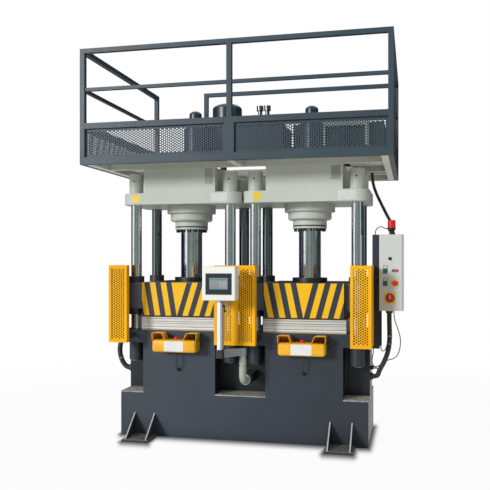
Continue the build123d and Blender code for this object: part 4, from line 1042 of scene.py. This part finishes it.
# The base and its feet: middle in X, half width, half depth
footprints = ((0, 1.145, 0.400), (0.909, 0.123, 0.662))
floorPaint = Paint("floorPaint")
x, y, _ = floorPaint.axes()
seen = floorPaint.seenBy("Is Camera Ray", "Is Glossy Ray")
far = (x * x + y * y).ramp(9, 36)
# The shadow is kept, and a painted shadow darkens the floor, in a soft border round the base and its feet, narrow
# at the sides and deeper in front, where it runs towards the camera's place
borders = []
for middle, halfX, halfY in footprints:
    outY = (y.size() - halfY).most(0)
    slid = x + (x - cameraPlace["at"][0]) * outY * (1 / stageLook["eyeToFeet"])
    outX = ((slid.size() - middle).size() - halfX).most(0) * (1 / stageLook["shadowSides"])
    outY = outY * (1 / stageLook["shadowFront"])
    borders.append(1 - (outX * outX + outY * outY).least(1))
near = borders[0].most(borders[1])
near = near * near * near
white = floorPaint.node("ShaderNodeEmission", None, {"Color": (1, 1, 1, 1), "Strength": 1.0})
pale = floorPaint.node("ShaderNodeBsdfDiffuse", None, {"Color": (0.9, 0.9, 0.9, 1)})
# Painted shadow: a dark floor colour near the base and its feet
paintedShadow = floorPaint.node("ShaderNodeBsdfDiffuse", None, {"Color": (0.08, 0.08, 0.08, 1)})
matt = floorPaint.node("ShaderNodeMixShader", None, [near * stageLook["paintedShadowDim"], pale, paintedShadow])
share = seen * (far * (1 - stageLook["floorGlow"]) + stageLook["floorGlow"] - near * stageLook["shadowKept"])
mixed = floorPaint.node("ShaderNodeMixShader", None, [share, matt, white])
floorPaint.node("ShaderNodeOutputMaterial", None, [mixed])
reach = stageLook["floor"]
floor = makePiece("floor", [(-reach, -reach, 0), (reach, -reach, 0), (reach, reach, 0), (-reach, reach, 0)],
                  [(0, 1, 2, 3)], None, floorPaint.material)

world = bpy.data.worlds.new("studio")
world.use_nodes = True
scene.world = world
air = Paint("studio", world.node_tree)
seen = air.seenBy("Is Camera Ray", "Is Glossy Ray", "Is Transmission Ray")
strength = seen * (1 - stageLook["fill"]) + stageLook["fill"]
glow = air.node("ShaderNodeBackground", None, {"Color": (1, 1, 1, 1), "Strength": strength})
air.node("ShaderNodeOutputWorld", None, [glow])

# Cards round the press that only its reflections see: degrees either way from the camera's side, left negative.
# The gap between the first two is the window that draws the white streak down each polished bar.
cards = {
    "cardBehind": (-181, -87, (20, 26, 58)), "cardNear": (-50, -34, (120, 131, 128)),
    "cardSeam": (-34, -27, (66, 74, 76)), "cardFront": (-27, 12, (136, 147, 143)),
    "cardLine": (12, 17, (84, 92, 92)), "cardPlain": (17, 38, (124, 134, 131)),
    "cardPost": (38, 48, (88, 98, 98)), "cardSide": (48, 74, (180, 195, 194)),
    "cardRight": (74, 179, (52, 60, 66)),
}
cardPlace = {"away": 9.0, "low": 0.02, "high": 9.0, "steps": 24}
for name, (first, last, tone) in cards.items():
    cardPaint = Paint(name)
    shade = cardPaint.node("ShaderNodeEmission", None, {"Color": linear(*tone), "Strength": 1.0})
    cardPaint.node("ShaderNodeOutputMaterial", None, [shade])
    # Angle measured from the camera's side of the press, as seen from above
    a = np.radians(np.linspace(first, last, cardPlace["steps"]) + cameraPlace["turn"] - 90)
    ring = np.stack((np.cos(a), np.sin(a)), 1) * cardPlace["away"]
    points = [np.column_stack((ring, np.full(len(a), h))) for h in (cardPlace["low"], cardPlace["high"])]
    card = makePiece(name, np.concatenate(points), gridFaces(2, len(a)), None, cardPaint.material)
    card.visible_camera = card.visible_diffuse = card.visible_shadow = card.visible_transmission = False

key = bpy.data.lights.new("key", "SUN")
key.energy = stageLook["key"]
key.angle = math.radians(stageLook["keySoft"])
keyHolder = bpy.data.objects.new("key", key)
keyHolder.rotation_euler = [math.radians(a) for a in stageLook["keyTurn"]]
scene.collection.objects.link(keyHolder)

scene.view_settings.view_transform = "Standard"
